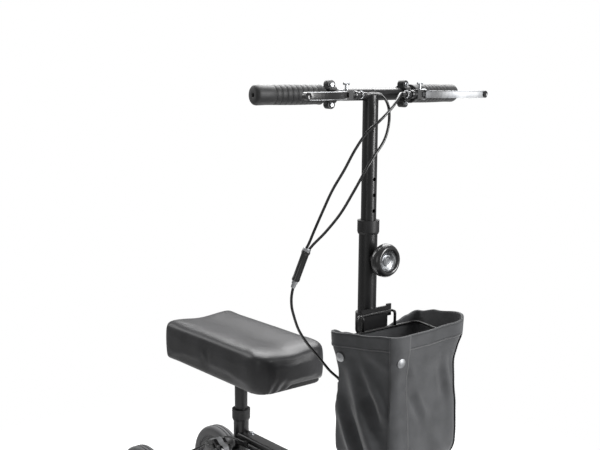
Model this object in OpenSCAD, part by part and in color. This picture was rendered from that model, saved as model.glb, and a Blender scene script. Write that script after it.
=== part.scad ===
// Knee scooter: a folding frame on four wheels with a padded knee rest, a steered
// and height-adjustable handlebar, two brake levers and a canvas bag.
// +X is forwards, +Y is the rider's left, +Z is up. The origin is on the floor,
// under the middle of the whole scooter.

/* [Overall] */
// Height of the handlebar axis above the floor
bar_z = 1025; // [850:5:1240]
// Width across the bar ends
bar_w = 480; // [410:2:600]
// Distance from the column back to the knee rest post
post_back = 396; // [330:2:480]
// Distance from the column back to the rear axle
rear_back = 637; // [600:2:770]
// Distance from the column forward to the front axle
front_ahead = 30; // [25:1:36]
// Distance between the middles of the rear tyres
rear_track = 213; // [178:1:256]
// Distance between the middles of the front tyres
front_track = 256; // [220:1:308]

/* [Wheels] */
// Radius of all four wheels
wheel_r = 95; // [79:1:114]
// Width of a tyre
tyre_w = 34; // [28:1:41]
// Height of a tyre's section, from its rim to its tread
tyre_h = 23; // [18:1:27]
// Width of a wheel hub
hub_w = 36; // [30:1:43]
// Outside radius of a wheel bearing
bearing_r = 11; // [10:0.5:13]
// Radius of an axle
axle_r = 6; // [5:0.5:7]

/* [Frame] */
// Height of the middle of the main beam
beam_z = 266; // [255:1:300]
// Height of the main beam's section
beam_h = 28; // [24:1:34]
// Width of the main beam's section
beam_w = 32; // [26:1:38]
// Outside radius of the head tube
head_r = 21; // [20:0.5:25]
// Outside radius of the tubes that slide tubes fit into
outer_r = 17; // [16.5:0.5:20.4]
// Radius of the sliding tubes
inner_r = 14; // [11.5:0.5:15]
// Radius of the steering spindle
spindle_r = 11; // [9:0.5:12]

/* [Column] */
// Height of the fold axis
fold_z = 345; // [340:1:360]
// Height of the top of the outer column tube
column_top = 797; // [760:1:840]
// Height of the column knob
knob_z = 732; // [680:1:750]
// Distance between two height holes
hole_pitch = 28.5; // [24:0.5:34]
// Radius of the handlebar tube
bar_r = 11; // [9.5:0.5:13]
// Angle that each side of the handlebar sweeps back
bar_sweep = 5.8; // [0:0.1:8]
// Radius of a grip
grip_r = 16.5; // [14:0.5:20]
// Length of a grip
grip_l = 134; // [118:1:170]

/* [Knee rest] */
// Height of the top of the pad
pad_top = 508; // [490:1:540]
// Length of the pad
pad_l = 359; // [300:1:430]
// Width of the pad
pad_w = 179; // [150:1:214]
// Thickness of the pad
pad_t = 70.7; // [58:0.1:85]
// Thickness of the base board
board_t = 12; // [10:1:15]

/* [Bag] */
// Height of the bag's rim
bag_top = 620; // [600:1:640]
// Height of the bag
bag_h = 245; // [205:1:248]
// Width of the bag at its back
bag_back_w = 206; // [172:1:246]
// Width of the bag at its front
bag_front_w = 164; // [138:1:196]
// Depth of the bag from back to front
bag_d = 128; // [106:1:154]
// Thickness of the bag's wall
bag_wall = 3.5; // [2:0.5:5]
// Radius of the bag's upright edges
bag_corner_r = 14; // [12:1:20]

/* [Hidden] */
$fn = 48;

gap = 0.3;              // between faces of pieces that move apart
run = 0.05;             // radial clearance of a running fit
cut = 1;                // how far a cutter runs past a face
wall = 2;               // tube wall
axle_nut_r = 11;
axle_nut_h = 8;
axle_end = 12;          // how far an axle runs past its hub, for the nut

// Basket bracket, and from the column axis to the back and front of the bag
bracket_z = 617;
bracket_h = 46;
bracket_w = 64;
bracket_t = 4;
wire_r = 2.5;
bracket_face = outer_r + 1 + bracket_t;
bag_back = bracket_face + gap + 2 * wire_r + 0.7;
bag_front = bag_back + bag_d;
// From the column axis to the middle of the scooter
col_x = (rear_back + wheel_r - max(bag_front, front_ahead + wheel_r)) / 2;

// Steering gear, counted up from the axles
kingpin_in = 40;                         // from a front wheel's middle in to its kingpin
kingpin_y = front_track / 2 - kingpin_in;
kingpin_r = 6;
boss_r = 13;
boss_h = 40;
cross_z = wheel_r + 35;
cross_r = 15;
ear_t = 6;
arm_z = cross_z + boss_h / 2 + gap;      // underside of the steering arms
arm_l = 45;
rod_pin_r = 4;
rod_eye_h = 8;
rod_eye_r = 9;
head_bottom = cross_z + 60;
head_top = beam_z + beam_h / 2 + 22;
flange_t = 2;
bearing_h = 10;
cup_r = spindle_r + 6;                   // headset bearings' seat in the head tube
stay_r = 15;
axle_tube_r = 12;

// Wheels
bearing_w = 8;
hub_wall = 5;
rim_t = 8;
rim_w = 30;
spokes = 5;
spoke_w = 18;
spoke_t = 12;
shoulder = 8;                            // roundness of the tyre's shoulders

// Fold joint
floor_t = 11.7;
fold_floor = head_top + flange_t + gap;
cheek_t = 4;
cheek_y = outer_r + gap;
cheek_x = 20;
fold_bolt_r = 5;
latch_r = 4;
latch_boss_r = 8;
latch_z = fold_z + 16;
fold_nut_r = latch_z - fold_z - latch_boss_r - 2 * gap;  // clears the latch as it turns
cheek_top = latch_z + 10;
column_bottom = fold_z - 20;
stop_up = 9;             // from the fold axis up to the stop in front of the column

// Column and handlebar
slide_r = inner_r + gap;
collar_r = outer_r + 3;
collar_h = 22;
lip_h = 3;
stem_bottom = fold_z + 17.5 + 5 * hole_pitch;
height_hole_r = 3.5;
knob_boss_l = 13;
knob_boss_r = 9;
knob_r = 30;
knob_l = 27;
pin_r = 5;
bar_l = bar_w / 2 / cos(bar_sweep);
bend_swell = 0.3;                       // the tube thickens a little where it is bent

// Brake levers, placed from the scooter's middle plane
clamp_s = bar_w / 2 - 150;
pivot = [34, bar_w / 2 - 140];
fork_z = 4.3;
perch_z = 8;
lever_hub_r = 7.5;
lever_pin_r = 3;
blade_h = 13;
lock_pin_y = pivot[1] - 11;
lock_pin_r = 2.5;

// Knee rest
pad_bottom = pad_top - pad_t;
board_bottom = pad_bottom - gap - board_t;
plate_t = 4;
plate_l = 140;
plate_w = 90;
board_inset = 4;                         // from the pad's sides to the board's
plate_bottom = board_bottom - plate_t;
pad_back = post_back - 8.5 + pad_l / 2;  // from the column axis to the pad's back edge
post_bottom = 200;
seat_tube_top = 328;
seat_tube_bottom = beam_z - 116;
seat_knob_z = beam_z - 29;
seat_boss_l = 17;
seat_boss_r = 11;
seat_knob_r = 41;
seat_knob_t = 36;
screw_r = 3;
screw_x = 45;
screw_y = 30;

// Rear brake, on the right wheel
drum_r = 38;
drum_wall = 5;
drum_face = rear_track / 2 - 6;          // where the drum meets the spokes
drum_depth = 22.5;
plate_face = drum_face - drum_depth;     // drum's open edge
backplate_t = 3.7;
backplate_r = 36;
brake_pin_r = 4;
brake_arm_l = 48;
brake_arm_t = 5;
brake_pivot = [22, 20];                  // forward of and above the axle

// Brake cables: outside radius, and the routes that they are clipped to
cable_r = 2.5;
cable_sides = 8;
guide = [-30, -36, 486];                 // cable guide on the column
guide_h = 14;
guide_r = 5;
cable_slip = 0.1;                        // round a cable in a clip or guide
near_route = [[34, -44, 1025], [37, -30, 1027], [41, -12, 1024], [43, 2, 1005], [41, 6, 975],
    [40, -4, 945], [38, -26, 918], [34, -45, 890], [25, -61, 857], [11, -78, 819],
    [-8, -95, 786], [-24, -108, 764], [-31, -115, 752]];
far_route = [[34, 44, 1025], [40, 34, 1026], [49, 18, 1016], [52, 0, 1001], [49, -22, 982],
    [39, -46, 959], [32, -66, 930], [24, -82, 897], [12, -98, 862], [0, -108, 827],
    [-14, -116, 790], [-26, -119, 764], [-33, -122, 752]];
lower_route = [[-48, -134, 689], [-51, -136, 672], [-52, -136, 655], [-51, -133, 637],
    [-50, -121, 605], [-47, -104, 578], [-44, -86, 556], [-41, -70, 536], [-37, -55, 517],
    [-32, -42, 504], [-30, -36, 496], [-30, -36, 493.4]];
column_route = [[-30, -36, 493], [-30, -36, 478], [-28, -36, 455], [-22, -36, 425],
    [-12, -36, 395], [-4, -36, 370], [0, -36, 355], [0, -36, 345.4]];
frame_route = [[0, -37, 343.2], [0, -37, 336], [-4, -38, 326], [-16, -38, 309], [-34, -33, 293],
    [-54, -25, 281], [-76, -20, 273], [-100, -19, 270], [-150, -19, 268], [-200, -19, 268],
    [-250, -19, 268], [-300, -19, 268], [-350, -19, 268], [-375, -20, 268], [-396, -21, 267],
    [-417, -22, 263], [-440, -24, 254], [-480, -28, 232], [-520, -34, 207], [-555, -44, 186],
    [-580, -56, 174], [-598, -68, 168], [-606, -73, 166]];

// Points of one ring around a point, square to a direction
function ring(p, d, r) = let (
    side = cross(d, abs(d[2]) < 0.9 * norm(d) ? [0, 0, 1] : [1, 0, 0]),
    u = side / norm(side),
    w = cross(d, u) / norm(d)
) [for (k = [0 : cable_sides - 1]) let (t = 360 * k / cable_sides)
    p + r * (cos(t) * u + sin(t) * w)];

// A point between p[i] and p[i + 1] on a smooth curve through all of them
function smooth(p, i, t) = let (
    n = len(p) - 1,
    a = p[max(i - 1, 0)], b = p[i], c = p[i + 1], e = p[min(i + 2, n)]
) 0.5 * (2 * b + (c - a) * t + (2 * a - 5 * b + 4 * c - e) * t * t
    + (3 * b - a - 3 * c + e) * t * t * t);

function fine(p, steps) = concat([for (i = [0 : len(p) - 2]) for (s = [0 : steps - 1])
    smooth(p, i, s / steps)], [p[len(p) - 1]]);

// A round tube of radius r swept along a route
module sweep(route, r, steps = 2) {
    p = fine(route, steps);
    n = len(p);
    m = cable_sides;
    rings = [for (i = [0 : n - 1]) ring(p[i], p[min(i + 1, n - 1)] - p[max(i - 1, 0)], r)];
    sides = [for (i = [0 : n - 2]) for (k = [0 : m - 1]) let (j = (k + 1) % m)
        [i * m + k, i * m + j, (i + 1) * m + j, (i + 1) * m + k]];
    ends = [[for (k = [m - 1 : -1 : 0]) k], [for (k = [0 : m - 1]) (n - 1) * m + k]];
    polyhedron(points = [for (one = rings) each one], faces = concat(sides, ends));
}

// Everything is drawn from the column axis and then set in its place
module placed() translate([col_x, 0, 0]) children();

// A cylinder along Y that starts at y0
module bar_y(r, y0, l) translate([0, y0, 0]) rotate([-90, 0, 0]) cylinder(r = r, h = l);

// A cylinder along X that starts at x0
module bar_x(r, x0, l) translate([x0, 0, 0]) rotate([0, 90, 0]) cylinder(r = r, h = l);

// A ring about Z
module ring_z(r_out, r_in, h) difference() {
    cylinder(r = r_out, h = h);
    translate([0, 0, -cut]) cylinder(r = r_in, h = h + 2 * cut);
}

// A rectangle with round corners
module round_rect(w, h, r) {
    square([w - 2 * r, h], center = true);
    square([w, h - 2 * r], center = true);
    for (x = [-1, 1]) for (y = [-1, 1]) translate([x * (w / 2 - r), y * (h / 2 - r)]) circle(r);
}

// A straight round bar between two points of the XZ plane
module strut(a, b, r, past = 0) translate([a[0], 0, a[1]])
    rotate([0, atan2(b[0] - a[0], b[1] - a[1]), 0])
        translate([0, 0, -past]) cylinder(r = r, h = norm(b - a) + 2 * past);

// Both sides of a mirrored pair
module both_sides() {
    children();
    mirror([0, 1, 0]) children();
}

// ---- frame ----

module main_beam() color("#1b1b1d") placed() difference() {
    translate([-post_back, 0, beam_z]) rotate([90, 0, 90])
        linear_extrude(post_back) round_rect(beam_w, beam_h, 5);
    translate([-post_back - cut, 0, beam_z]) rotate([90, 0, 90])
        linear_extrude(post_back + 2 * cut) round_rect(beam_w - 2 * wall, beam_h - 2 * wall, 3);
    translate([0, 0, head_bottom]) cylinder(r = head_r, h = head_top - head_bottom);
    translate([-post_back, 0, seat_tube_bottom])
        cylinder(r = outer_r, h = seat_tube_top - seat_tube_bottom);
}

module seat_tube() color("#1b1b1d") placed() translate([-post_back, 0, 0]) difference() {
    union() {
        translate([0, 0, seat_tube_bottom])
            cylinder(r = outer_r, h = seat_tube_top - seat_tube_bottom);
        translate([0, 0, seat_knob_z]) bar_y(seat_boss_r, -outer_r - seat_boss_l, seat_boss_l + 5);
    }
    translate([0, 0, seat_tube_bottom - cut])
        cylinder(r = slide_r, h = seat_tube_top - seat_tube_bottom + 2 * cut);
    translate([0, 0, seat_knob_z])
        bar_y(pin_r + run, -outer_r - seat_boss_l - cut, outer_r + seat_boss_l + cut);
}

// A plastic sleeve over the top of an outer tube, with a lip that guides the inner tube
module sleeve(top) translate([0, 0, top - collar_h]) difference() {
    union() {
        cylinder(r1 = outer_r + 1.5, r2 = collar_r, h = 4);
        translate([0, 0, 4]) cylinder(r = collar_r, h = collar_h + lip_h - 4);
    }
    translate([0, 0, -cut]) cylinder(r = outer_r, h = collar_h + cut);
    cylinder(r = slide_r, h = collar_h + lip_h + cut);
}

module seat_collar() color("#242426") placed() translate([-post_back, 0, 0])
    sleeve(seat_tube_top);

module rear_stay() color("#1b1b1d") placed() difference() {
    strut([-post_back, beam_z - 11], [-rear_back, wheel_r], stay_r);
    strut([-post_back, beam_z - 11], [-rear_back, wheel_r], stay_r - wall, cut);
    translate([-post_back, 0, 0]) cylinder(r = outer_r, h = seat_tube_top);
    translate([-rear_back, 0, wheel_r]) bar_y(axle_tube_r, -2 * stay_r, 4 * stay_r);
}

module rear_axle_tube() color("#1b1b1d") placed() translate([-rear_back, 0, wheel_r])
    difference() {
        inboard = plate_face - gap - backplate_t;
        length = inboard + rear_track / 2 - hub_w / 2;
        bar_y(axle_tube_r, -inboard, length);
        bar_y(axle_r, -inboard - cut, length + 2 * cut);
    }

module rear_axle() color("silver") placed() translate([-rear_back, 0, wheel_r]) {
    end = rear_track / 2 + hub_w / 2;
    bar_y(axle_r, -end - axle_end, 2 * (end + axle_end));
    both_sides() difference() {
        translate([0, end + gap, 0]) rotate([-90, 0, 0])
            cylinder(r = axle_nut_r, h = axle_nut_h, $fn = 6);
        bar_y(axle_r, end, axle_end);
    }
}

// The two bearings of one wheel, about its middle
module bearing_pair() for (y = [-hub_w / 2, hub_w / 2 - bearing_w]) translate([0, y, 0])
    rotate([-90, 0, 0]) ring_z(bearing_r, axle_r, bearing_w);

module rear_bearings() color("silver") placed() translate([-rear_back, 0, wheel_r])
    for (y = [-rear_track / 2, rear_track / 2]) translate([0, y, 0]) bearing_pair();

module head_tube() color("#1b1b1d") placed() translate([0, 0, head_bottom])
    ring_z(head_r, cup_r, head_top - head_bottom);

module headset_bearings() color("silver") placed() {
    translate([0, 0, head_bottom]) ring_z(cup_r, spindle_r + run, bearing_h);
    translate([0, 0, head_top - bearing_h])
        ring_z(cup_r, spindle_r + run, bearing_h + flange_t);
    translate([0, 0, head_top]) ring_z(head_r, cup_r, flange_t);
}

module front_gusset() color("#1b1b1d") placed() difference() {
    translate([0, 12, 0]) rotate([90, 0, 0]) linear_extrude(24) polygon([
        [front_ahead - 10.5, cross_z], [front_ahead - 10.5, head_bottom], [10, head_bottom],
        [10, head_bottom + 52], [head_r + 9, head_bottom + 52],
        [front_ahead + 18, cross_z + 35], [front_ahead + 18, cross_z]]);
    translate([0, 0, head_bottom - cut]) cylinder(r = head_r, h = head_top - head_bottom);
    translate([front_ahead, 0, cross_z]) bar_y(cross_r, -20, 40);
}

module front_cross_tube() color("#1b1b1d") placed() translate([front_ahead, 0, cross_z])
    difference() {
        union() {
            bar_y(cross_r, -kingpin_y, 2 * kingpin_y);
            for (y = [-kingpin_y, kingpin_y]) translate([0, y, -boss_h / 2])
                cylinder(r = boss_r, h = boss_h);
        }
        for (y = [-kingpin_y, kingpin_y]) translate([0, y, -boss_h])
            cylinder(r = kingpin_r, h = 2 * boss_h);
        for (side = [-1, 1]) translate([0, side * (kingpin_y + boss_r + 10), 0])
            cube([60, 20, 60], center = true);
    }

module kingpins() color("silver") placed() for (y = [-kingpin_y, kingpin_y])
    translate([front_ahead, y, cross_z]) {
        reach = boss_h / 2 + gap + ear_t + gap;
        translate([0, 0, -reach]) cylinder(r = kingpin_r, h = 2 * reach);
        translate([0, 0, reach]) cylinder(r = 10, h = 5);
        translate([0, 0, -reach - 6]) cylinder(r = 11, h = 6, $fn = 6);
    }

module cable_clips() color("#242426") placed() for (x = [-150, -250, -350]) difference() {
    translate([x - 5, -beam_w / 2 - 7, beam_z - 3]) cube([10, 7, 10]);
    translate([x, -19, 268]) bar_x(cable_r + cable_slip, -6, 12);
}

module brake_backplate() color("#8c8f93") placed() translate([-rear_back, 0, wheel_r])
    difference() {
        plate_y = plate_face - gap;
        union() {
            bar_y(backplate_r, -plate_y, backplate_t);
            bar_y(axle_r + 3, -rear_track / 2 + hub_w / 2, rear_track / 2 - hub_w / 2 - plate_y + 1);
            translate([brake_pivot[0], 0, brake_pivot[1]])
                bar_y(brake_pin_r, -plate_y + backplate_t - 1, 9);
        }
        bar_y(axle_r, -rear_track, rear_track);
    }

module frame_cable() color("#161616") placed() sweep(frame_route, cable_r);

// ---- knee rest ----

module seat_post() color("#1b1b1d") placed() translate([-post_back, 0, 0]) difference() {
    union() {
        translate([0, 0, post_bottom]) cylinder(r = inner_r, h = plate_bottom - post_bottom);
        translate([-plate_l / 2, -plate_w / 2, plate_bottom]) cube([plate_l, plate_w, plate_t]);
    }
    translate([0, 0, post_bottom - cut])
        cylinder(r = inner_r - wall, h = plate_bottom - post_bottom + cut);
    for (x = [-screw_x, screw_x]) for (y = [-screw_y, screw_y])
        translate([x, y, plate_bottom - cut]) cylinder(r = screw_r, h = plate_t + 2 * cut);
}

module seat_screws() color("silver") placed() translate([-post_back, 0, plate_bottom])
    for (x = [-screw_x, screw_x]) for (y = [-screw_y, screw_y]) translate([x, y, 0]) {
        translate([0, 0, -4]) cylinder(r = 5, h = 4);
        cylinder(r = screw_r, h = plate_t + board_t - 3);
    }

module seat_board() color("#161616") placed() difference() {
    translate([-pad_back + board_inset, -pad_w / 2 + board_inset, board_bottom])
        cube([pad_l - 2 * board_inset, pad_w - 2 * board_inset, board_t]);
    translate([-post_back, 0, board_bottom - cut])
        for (x = [-screw_x, screw_x]) for (y = [-screw_y, screw_y]) translate([x, y, 0])
            cylinder(r = screw_r, h = board_t - 3 + cut);
}

module knee_pad() color("#202022") placed() translate([-pad_back + pad_l / 2, 0, 0]) {
    edge = 12;
    translate([0, 0, pad_bottom]) linear_extrude(pad_t - edge) round_rect(pad_l, pad_w, 14);
    translate([0, 0, pad_bottom]) linear_extrude(pad_t - 4)
        round_rect(pad_l - 8, pad_w - 8, 12);
    translate([0, 0, pad_bottom]) linear_extrude(pad_t)
        round_rect(pad_l - 24, pad_w - 24, 8);
}

// A hand knob with rounded lobes, about Z, from 0 up
module lobed_knob(r, t, lobes) {
    cylinder(r = r * 0.86, h = t);
    for (k = [0 : lobes - 1]) rotate([0, 0, 360 * k / lobes]) translate([r * 0.76, 0, 0])
        cylinder(r = r * 0.24, h = t);
}

module seat_knob() color("#2a2a2c") placed()
    translate([-post_back, -outer_r - seat_boss_l, seat_knob_z]) rotate([90, 0, 0]) {
        translate([0, 0, 10]) lobed_knob(seat_knob_r, seat_knob_t, 8);
        translate([0, 0, 0.5]) cylinder(r = 14, h = 10);
        screw_l = outer_r + seat_boss_l - inner_r - 2 * gap;
        translate([0, 0, -screw_l]) cylinder(r = pin_r, h = screw_l + 1);
    }

// ---- steering ----

module steering_spindle() color("#8c8f93") placed() translate([0, 0, arm_z - 6])
    cylinder(r = spindle_r, h = fold_floor - arm_z + 6);

module pitman_arm() color("#1b1b1d") placed() {
    translate([0, 0, arm_z]) difference() {
        union() {
            cylinder(r = spindle_r + 6, h = ear_t);
            translate([-arm_l, -8, 0]) cube([arm_l, 16, ear_t]);
            translate([-arm_l, 0, 0]) cylinder(r = 8, h = ear_t);
        }
        translate([0, 0, -cut]) cylinder(r = spindle_r, h = ear_t + 2 * cut);
    }
    translate([-arm_l, 0, arm_z - rod_eye_h - 2]) cylinder(r = rod_pin_r, h = rod_eye_h + 3);
    translate([-arm_l, 0, arm_z + ear_t - 1]) cylinder(r = rod_pin_r, h = rod_eye_h + 3);
}

module fold_base() color("#1b1b1d") placed() {
    difference() {
        union() {
            translate([0, 0, fold_floor]) cylinder(r = 28, h = floor_t);
            both_sides() translate([-cheek_x, cheek_y, fold_floor])
                cube([2 * cheek_x, cheek_t, cheek_top - fold_floor]);
            translate([cheek_y, -cheek_y - 1, fold_z + stop_up])
                cube([cheek_x - cheek_y, 2 * cheek_y + 2, cheek_top - fold_z - stop_up]);
            translate([0, 0, latch_z]) bar_y(latch_boss_r, cheek_y + 1, cheek_t + 5);
        }
        translate([0, 0, fold_z]) bar_y(fold_bolt_r + run, -50, 100);
        translate([0, 0, latch_z]) bar_y(latch_r + run, 0, 50);
    }
}

// The steering knuckle of one side: side is 1 on the left, pin_up sets where the rod goes
module knuckle(side, pin_up) placed() translate([front_ahead, side * kingpin_y, 0]) {
    web_y = boss_r + gap;
    web_t = 5;
    nut_y = kingpin_in + hub_w / 2;
    low = cross_z - boss_h / 2 - gap - ear_t;
    eye_z = pin_up ? arm_z + ear_t - 1 : arm_z - rod_eye_h - 2;
    color("#3a3b3d") difference() {
        union() {
            for (z = [low, arm_z]) translate([0, 0, z]) {
                cylinder(r = boss_r, h = ear_t);
                to_side(side) translate([-boss_r, 0, 0])
                    cube([2 * boss_r, web_y + web_t, ear_t]);
            }
            to_side(side) translate([-boss_r, web_y, wheel_r - 12])
                cube([2 * boss_r, web_t, arm_z + ear_t - wheel_r + 12]);
            translate([-arm_l, 0, arm_z]) cylinder(r = 8, h = ear_t);
            translate([-arm_l, -7, arm_z]) cube([arm_l, 14, ear_t]);
        }
        translate([0, 0, low - cut]) cylinder(r = kingpin_r + run, h = arm_z + 2 * ear_t - low);
    }
    color("silver") {
        translate([-arm_l, 0, eye_z]) cylinder(r = rod_pin_r, h = rod_eye_h + 3);
        to_side(side) translate([0, 0, wheel_r])
            bar_y(axle_r, web_y + web_t - 1, nut_y - web_y - web_t + 1 + axle_end);
        to_side(side) difference() {
            translate([0, nut_y + gap, wheel_r]) rotate([-90, 0, 0])
                cylinder(r = axle_nut_r, h = axle_nut_h, $fn = 6);
            translate([0, 0, wheel_r]) bar_y(axle_r, nut_y, axle_end);
        }
    }
}

// Mirrors what it holds to the right side when side is -1
module to_side(side) mirror([0, side < 0 ? 1 : 0, 0]) children();

module knuckle_left() knuckle(1, true);
module knuckle_right() knuckle(-1, false);

module front_bearings(side) color("silver") placed()
    translate([front_ahead, side * front_track / 2, wheel_r]) bearing_pair();

module front_left_bearings() front_bearings(1);
module front_right_bearings() front_bearings(-1);

module tie_rod(side, z) color("#8c8f93") placed() {
    a = [-arm_l, 0, z];
    b = [front_ahead - arm_l, side * kingpin_y, z];
    l = norm(b - a);
    translate([a[0], a[1], a[2] + rod_eye_h / 2]) rotate([0, 0, atan2(b[1] - a[1], b[0] - a[0])])
        difference() {
            union() {
                rotate([0, 90, 0]) translate([0, 0, 6]) cylinder(r = 3.5, h = l - 12);
                for (x = [0, l]) translate([x, 0, -rod_eye_h / 2])
                    cylinder(r = rod_eye_r, h = rod_eye_h);
            }
            for (x = [0, l]) translate([x, 0, -rod_eye_h])
                cylinder(r = rod_pin_r + (x == 0 ? gap : run), h = 2 * rod_eye_h);
        }
}

module tie_rod_left() tie_rod(1, arm_z + ear_t + gap);
module tie_rod_right() tie_rod(-1, arm_z - rod_eye_h - gap);

// ---- wheels ----

// A moulded rim with five spokes, about its middle
module rim() rotate([-90, 0, 0]) {
    rim_r = wheel_r - tyre_h;
    difference() {
        union() {
            translate([0, 0, -hub_w / 2]) cylinder(r = bearing_r + hub_wall, h = hub_w);
            translate([0, 0, -rim_w / 2]) ring_z(rim_r, rim_r - rim_t, rim_w);
            for (k = [0 : spokes - 1]) rotate([0, 0, 360 * k / spokes + 18])
                translate([bearing_r, -spoke_w / 2, -spoke_t / 2])
                    cube([rim_r - bearing_r - rim_t / 2, spoke_w, spoke_t]);
        }
        translate([0, 0, -hub_w / 2 - cut]) cylinder(r = bearing_r - 3, h = hub_w + 2 * cut);
        for (z = [-hub_w / 2 - cut, hub_w / 2 - bearing_w])
            translate([0, 0, z]) cylinder(r = bearing_r + run, h = bearing_w + cut);
    }
}

// A solid tyre with rounded shoulders, about its middle
module tyre() rotate([-90, 0, 0]) rotate_extrude($fn = 72) {
    rim_r = wheel_r - tyre_h;
    translate([rim_r, -tyre_w / 2]) square([tyre_h - shoulder, tyre_w]);
    translate([rim_r, -tyre_w / 2 + shoulder]) square([tyre_h, tyre_w - 2 * shoulder]);
    for (side = [-1, 1]) translate([wheel_r - shoulder, side * (tyre_w / 2 - shoulder)])
        circle(shoulder);
}

module at_front(side) placed() translate([front_ahead, side * front_track / 2, wheel_r])
    children();
module at_rear(side) placed() translate([-rear_back, side * rear_track / 2, wheel_r])
    children();

module front_left_rim() color("#2a2a2c") at_front(1) rim();
module front_right_rim() color("#2a2a2c") at_front(-1) rim();
module rear_left_rim() color("#2a2a2c") at_rear(1) rim();
module rear_right_rim() color("#2a2a2c") at_rear(-1) rim();
module front_left_tyre() color("#58595b") at_front(1) tyre();
module front_right_tyre() color("#58595b") at_front(-1) tyre();
module rear_left_tyre() color("#58595b") at_rear(1) tyre();
module rear_right_tyre() color("#58595b") at_rear(-1) tyre();

module brake_drum() color("#8c8f93") placed() translate([-rear_back, 0, wheel_r])
    difference() {
        bar_y(drum_r, -drum_face, drum_depth);
        bar_y(drum_r - drum_wall, -drum_face + 3, drum_depth);
        bar_y(bearing_r + hub_wall, -drum_face - cut, drum_depth);
    }

module brake_arm() color("#8c8f93") placed()
    translate([-rear_back + brake_pivot[0], 0, wheel_r + brake_pivot[1]]) difference() {
        face = -plate_face + gap + backplate_t + gap;
        union() {
            bar_y(9, face, brake_arm_t);
            translate([-6, face, 0]) cube([12, brake_arm_t, brake_arm_l]);
            translate([0, 0, brake_arm_l]) bar_y(6, face, brake_arm_t);
        }
        bar_y(brake_pin_r + run, face - cut, brake_arm_t + 2 * cut);
        translate([0, 0, brake_arm_l]) bar_y(1.5, face - cut, brake_arm_t + 2 * cut);
    }

// ---- column ----

module column_tube() color("#1b1b1d") placed() difference() {
    union() {
        translate([0, 0, column_bottom]) cylinder(r = outer_r, h = column_top - column_bottom);
        translate([0, 0, knob_z]) bar_x(knob_boss_r, outer_r - 5, knob_boss_l + 5);
        translate([guide[0], guide[1], guide[2] - guide_h / 2]) cylinder(r = guide_r, h = guide_h);
        translate([0, 0, guide[2] - 4]) rotate([0, 0, atan2(guide[1], guide[0])])
            translate([outer_r - 2, -2, 0]) cube([norm([guide[0], guide[1]]) - outer_r, 4, 8]);
    }
    translate([0, 0, column_bottom - cut])
        cylinder(r = slide_r, h = column_top - column_bottom + 2 * cut);
    translate([0, 0, fold_z]) bar_y(fold_bolt_r, -30, 60);
    translate([0, 0, knob_z]) bar_x(pin_r + run, 0, outer_r + knob_boss_l + cut);
    translate([guide[0], guide[1], guide[2] - guide_h]) cylinder(r = cable_r + cable_slip, h = 2 * guide_h);
}

module column_collar() color("#242426") placed() sleeve(column_top);

module fold_bolt() color("silver") placed() translate([0, 0, fold_z]) {
    end = cheek_y + cheek_t + gap;
    bar_y(fold_bolt_r, -end, 2 * end);
    bar_y(9, -end - 5, 5);
    translate([0, end, 0]) rotate([-90, 0, 0]) cylinder(r = fold_nut_r, h = 6, $fn = 6);
}

module fold_latch() color("#a01818") placed() translate([0, 0, latch_z]) {
    bar_y(latch_r, outer_r + gap, 30);
    bar_y(10, cheek_y + cheek_t + 6.5, 14);
}

// A round knob on a plunger, with a bevelled rim and a hollow conical face
module column_knob() color("#2a2a2c") placed() translate([0, 0, knob_z]) {
    bar_x(pin_r, slide_r + gap, knob_boss_l + 10);
    translate([outer_r + knob_boss_l + gap, 0, 0]) rotate([0, 90, 0]) rotate_extrude() polygon([
        [0, 0], [13, 0], [16, 5], [knob_r - 5, 6], [knob_r, 10], [knob_r, 20],
        [knob_r - 4, knob_l - 1], [knob_r - 8, knob_l], [knob_r - 11, knob_l - 3],
        [9, knob_l - 9], [8, knob_l - 7], [0, knob_l - 6]]);
}

module column_cable() color("#161616") placed() sweep(column_route, cable_r);

module basket_bracket() color("#161616") placed() {
    translate([0, 0, bracket_z - 12]) ring_z(outer_r + 4, outer_r, 24);
    difference() {
        translate([outer_r + 1, -bracket_w / 2, bracket_z - bracket_h / 2])
            cube([bracket_t, bracket_w, bracket_h]);
        translate([0, 0, bracket_z - 13]) cylinder(r = outer_r + 2, h = 26);
    }
    translate([outer_r + 1, bracket_w / 2 - 1, bracket_z + 4]) cube([bracket_t, 10, 22]);
}

// Middles of the bag's round corners, this far in from its sides, from back right round
function bag_corners(inset) = [
    [bag_back + inset, -bag_back_w / 2 + inset], [bag_front - inset, -bag_front_w / 2 + inset],
    [bag_front - inset, bag_front_w / 2 - inset], [bag_back + inset, bag_back_w / 2 - inset]];

// The bag's outline, drawn in by this much
module bag_outline(inset) hull() for (p = bag_corners(bag_corner_r)) translate(p)
    circle(bag_corner_r - inset, $fn = 32);

// The wire rim inside the bag's hem, and the hanger that hooks over the bracket
module basket_frame() color("#161616") placed() {
    inset = bag_wall + gap;
    w = 2 * wire_r;
    rim_z = bag_top - 14;
    over = bag_top + 8;
    under = over - 26;
    front = bag_back + inset;
    back = bracket_face + gap;
    hook_y = 46;
    translate([0, 0, rim_z]) linear_extrude(w) difference() {
        bag_outline(inset);
        bag_outline(inset + w);
    }
    for (y = [-hook_y, hook_y]) translate([0, y - wire_r, 0]) {
        translate([front, 0, rim_z]) cube([w, w, over + w - rim_z]);
        translate([back, 0, over]) cube([front + w - back, w, w]);
        translate([back, 0, under]) cube([w, w, over + w - under]);
    }
    for (z = [over, under]) translate([back, -hook_y, z]) cube([w, 2 * hook_y, w]);
}

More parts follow.
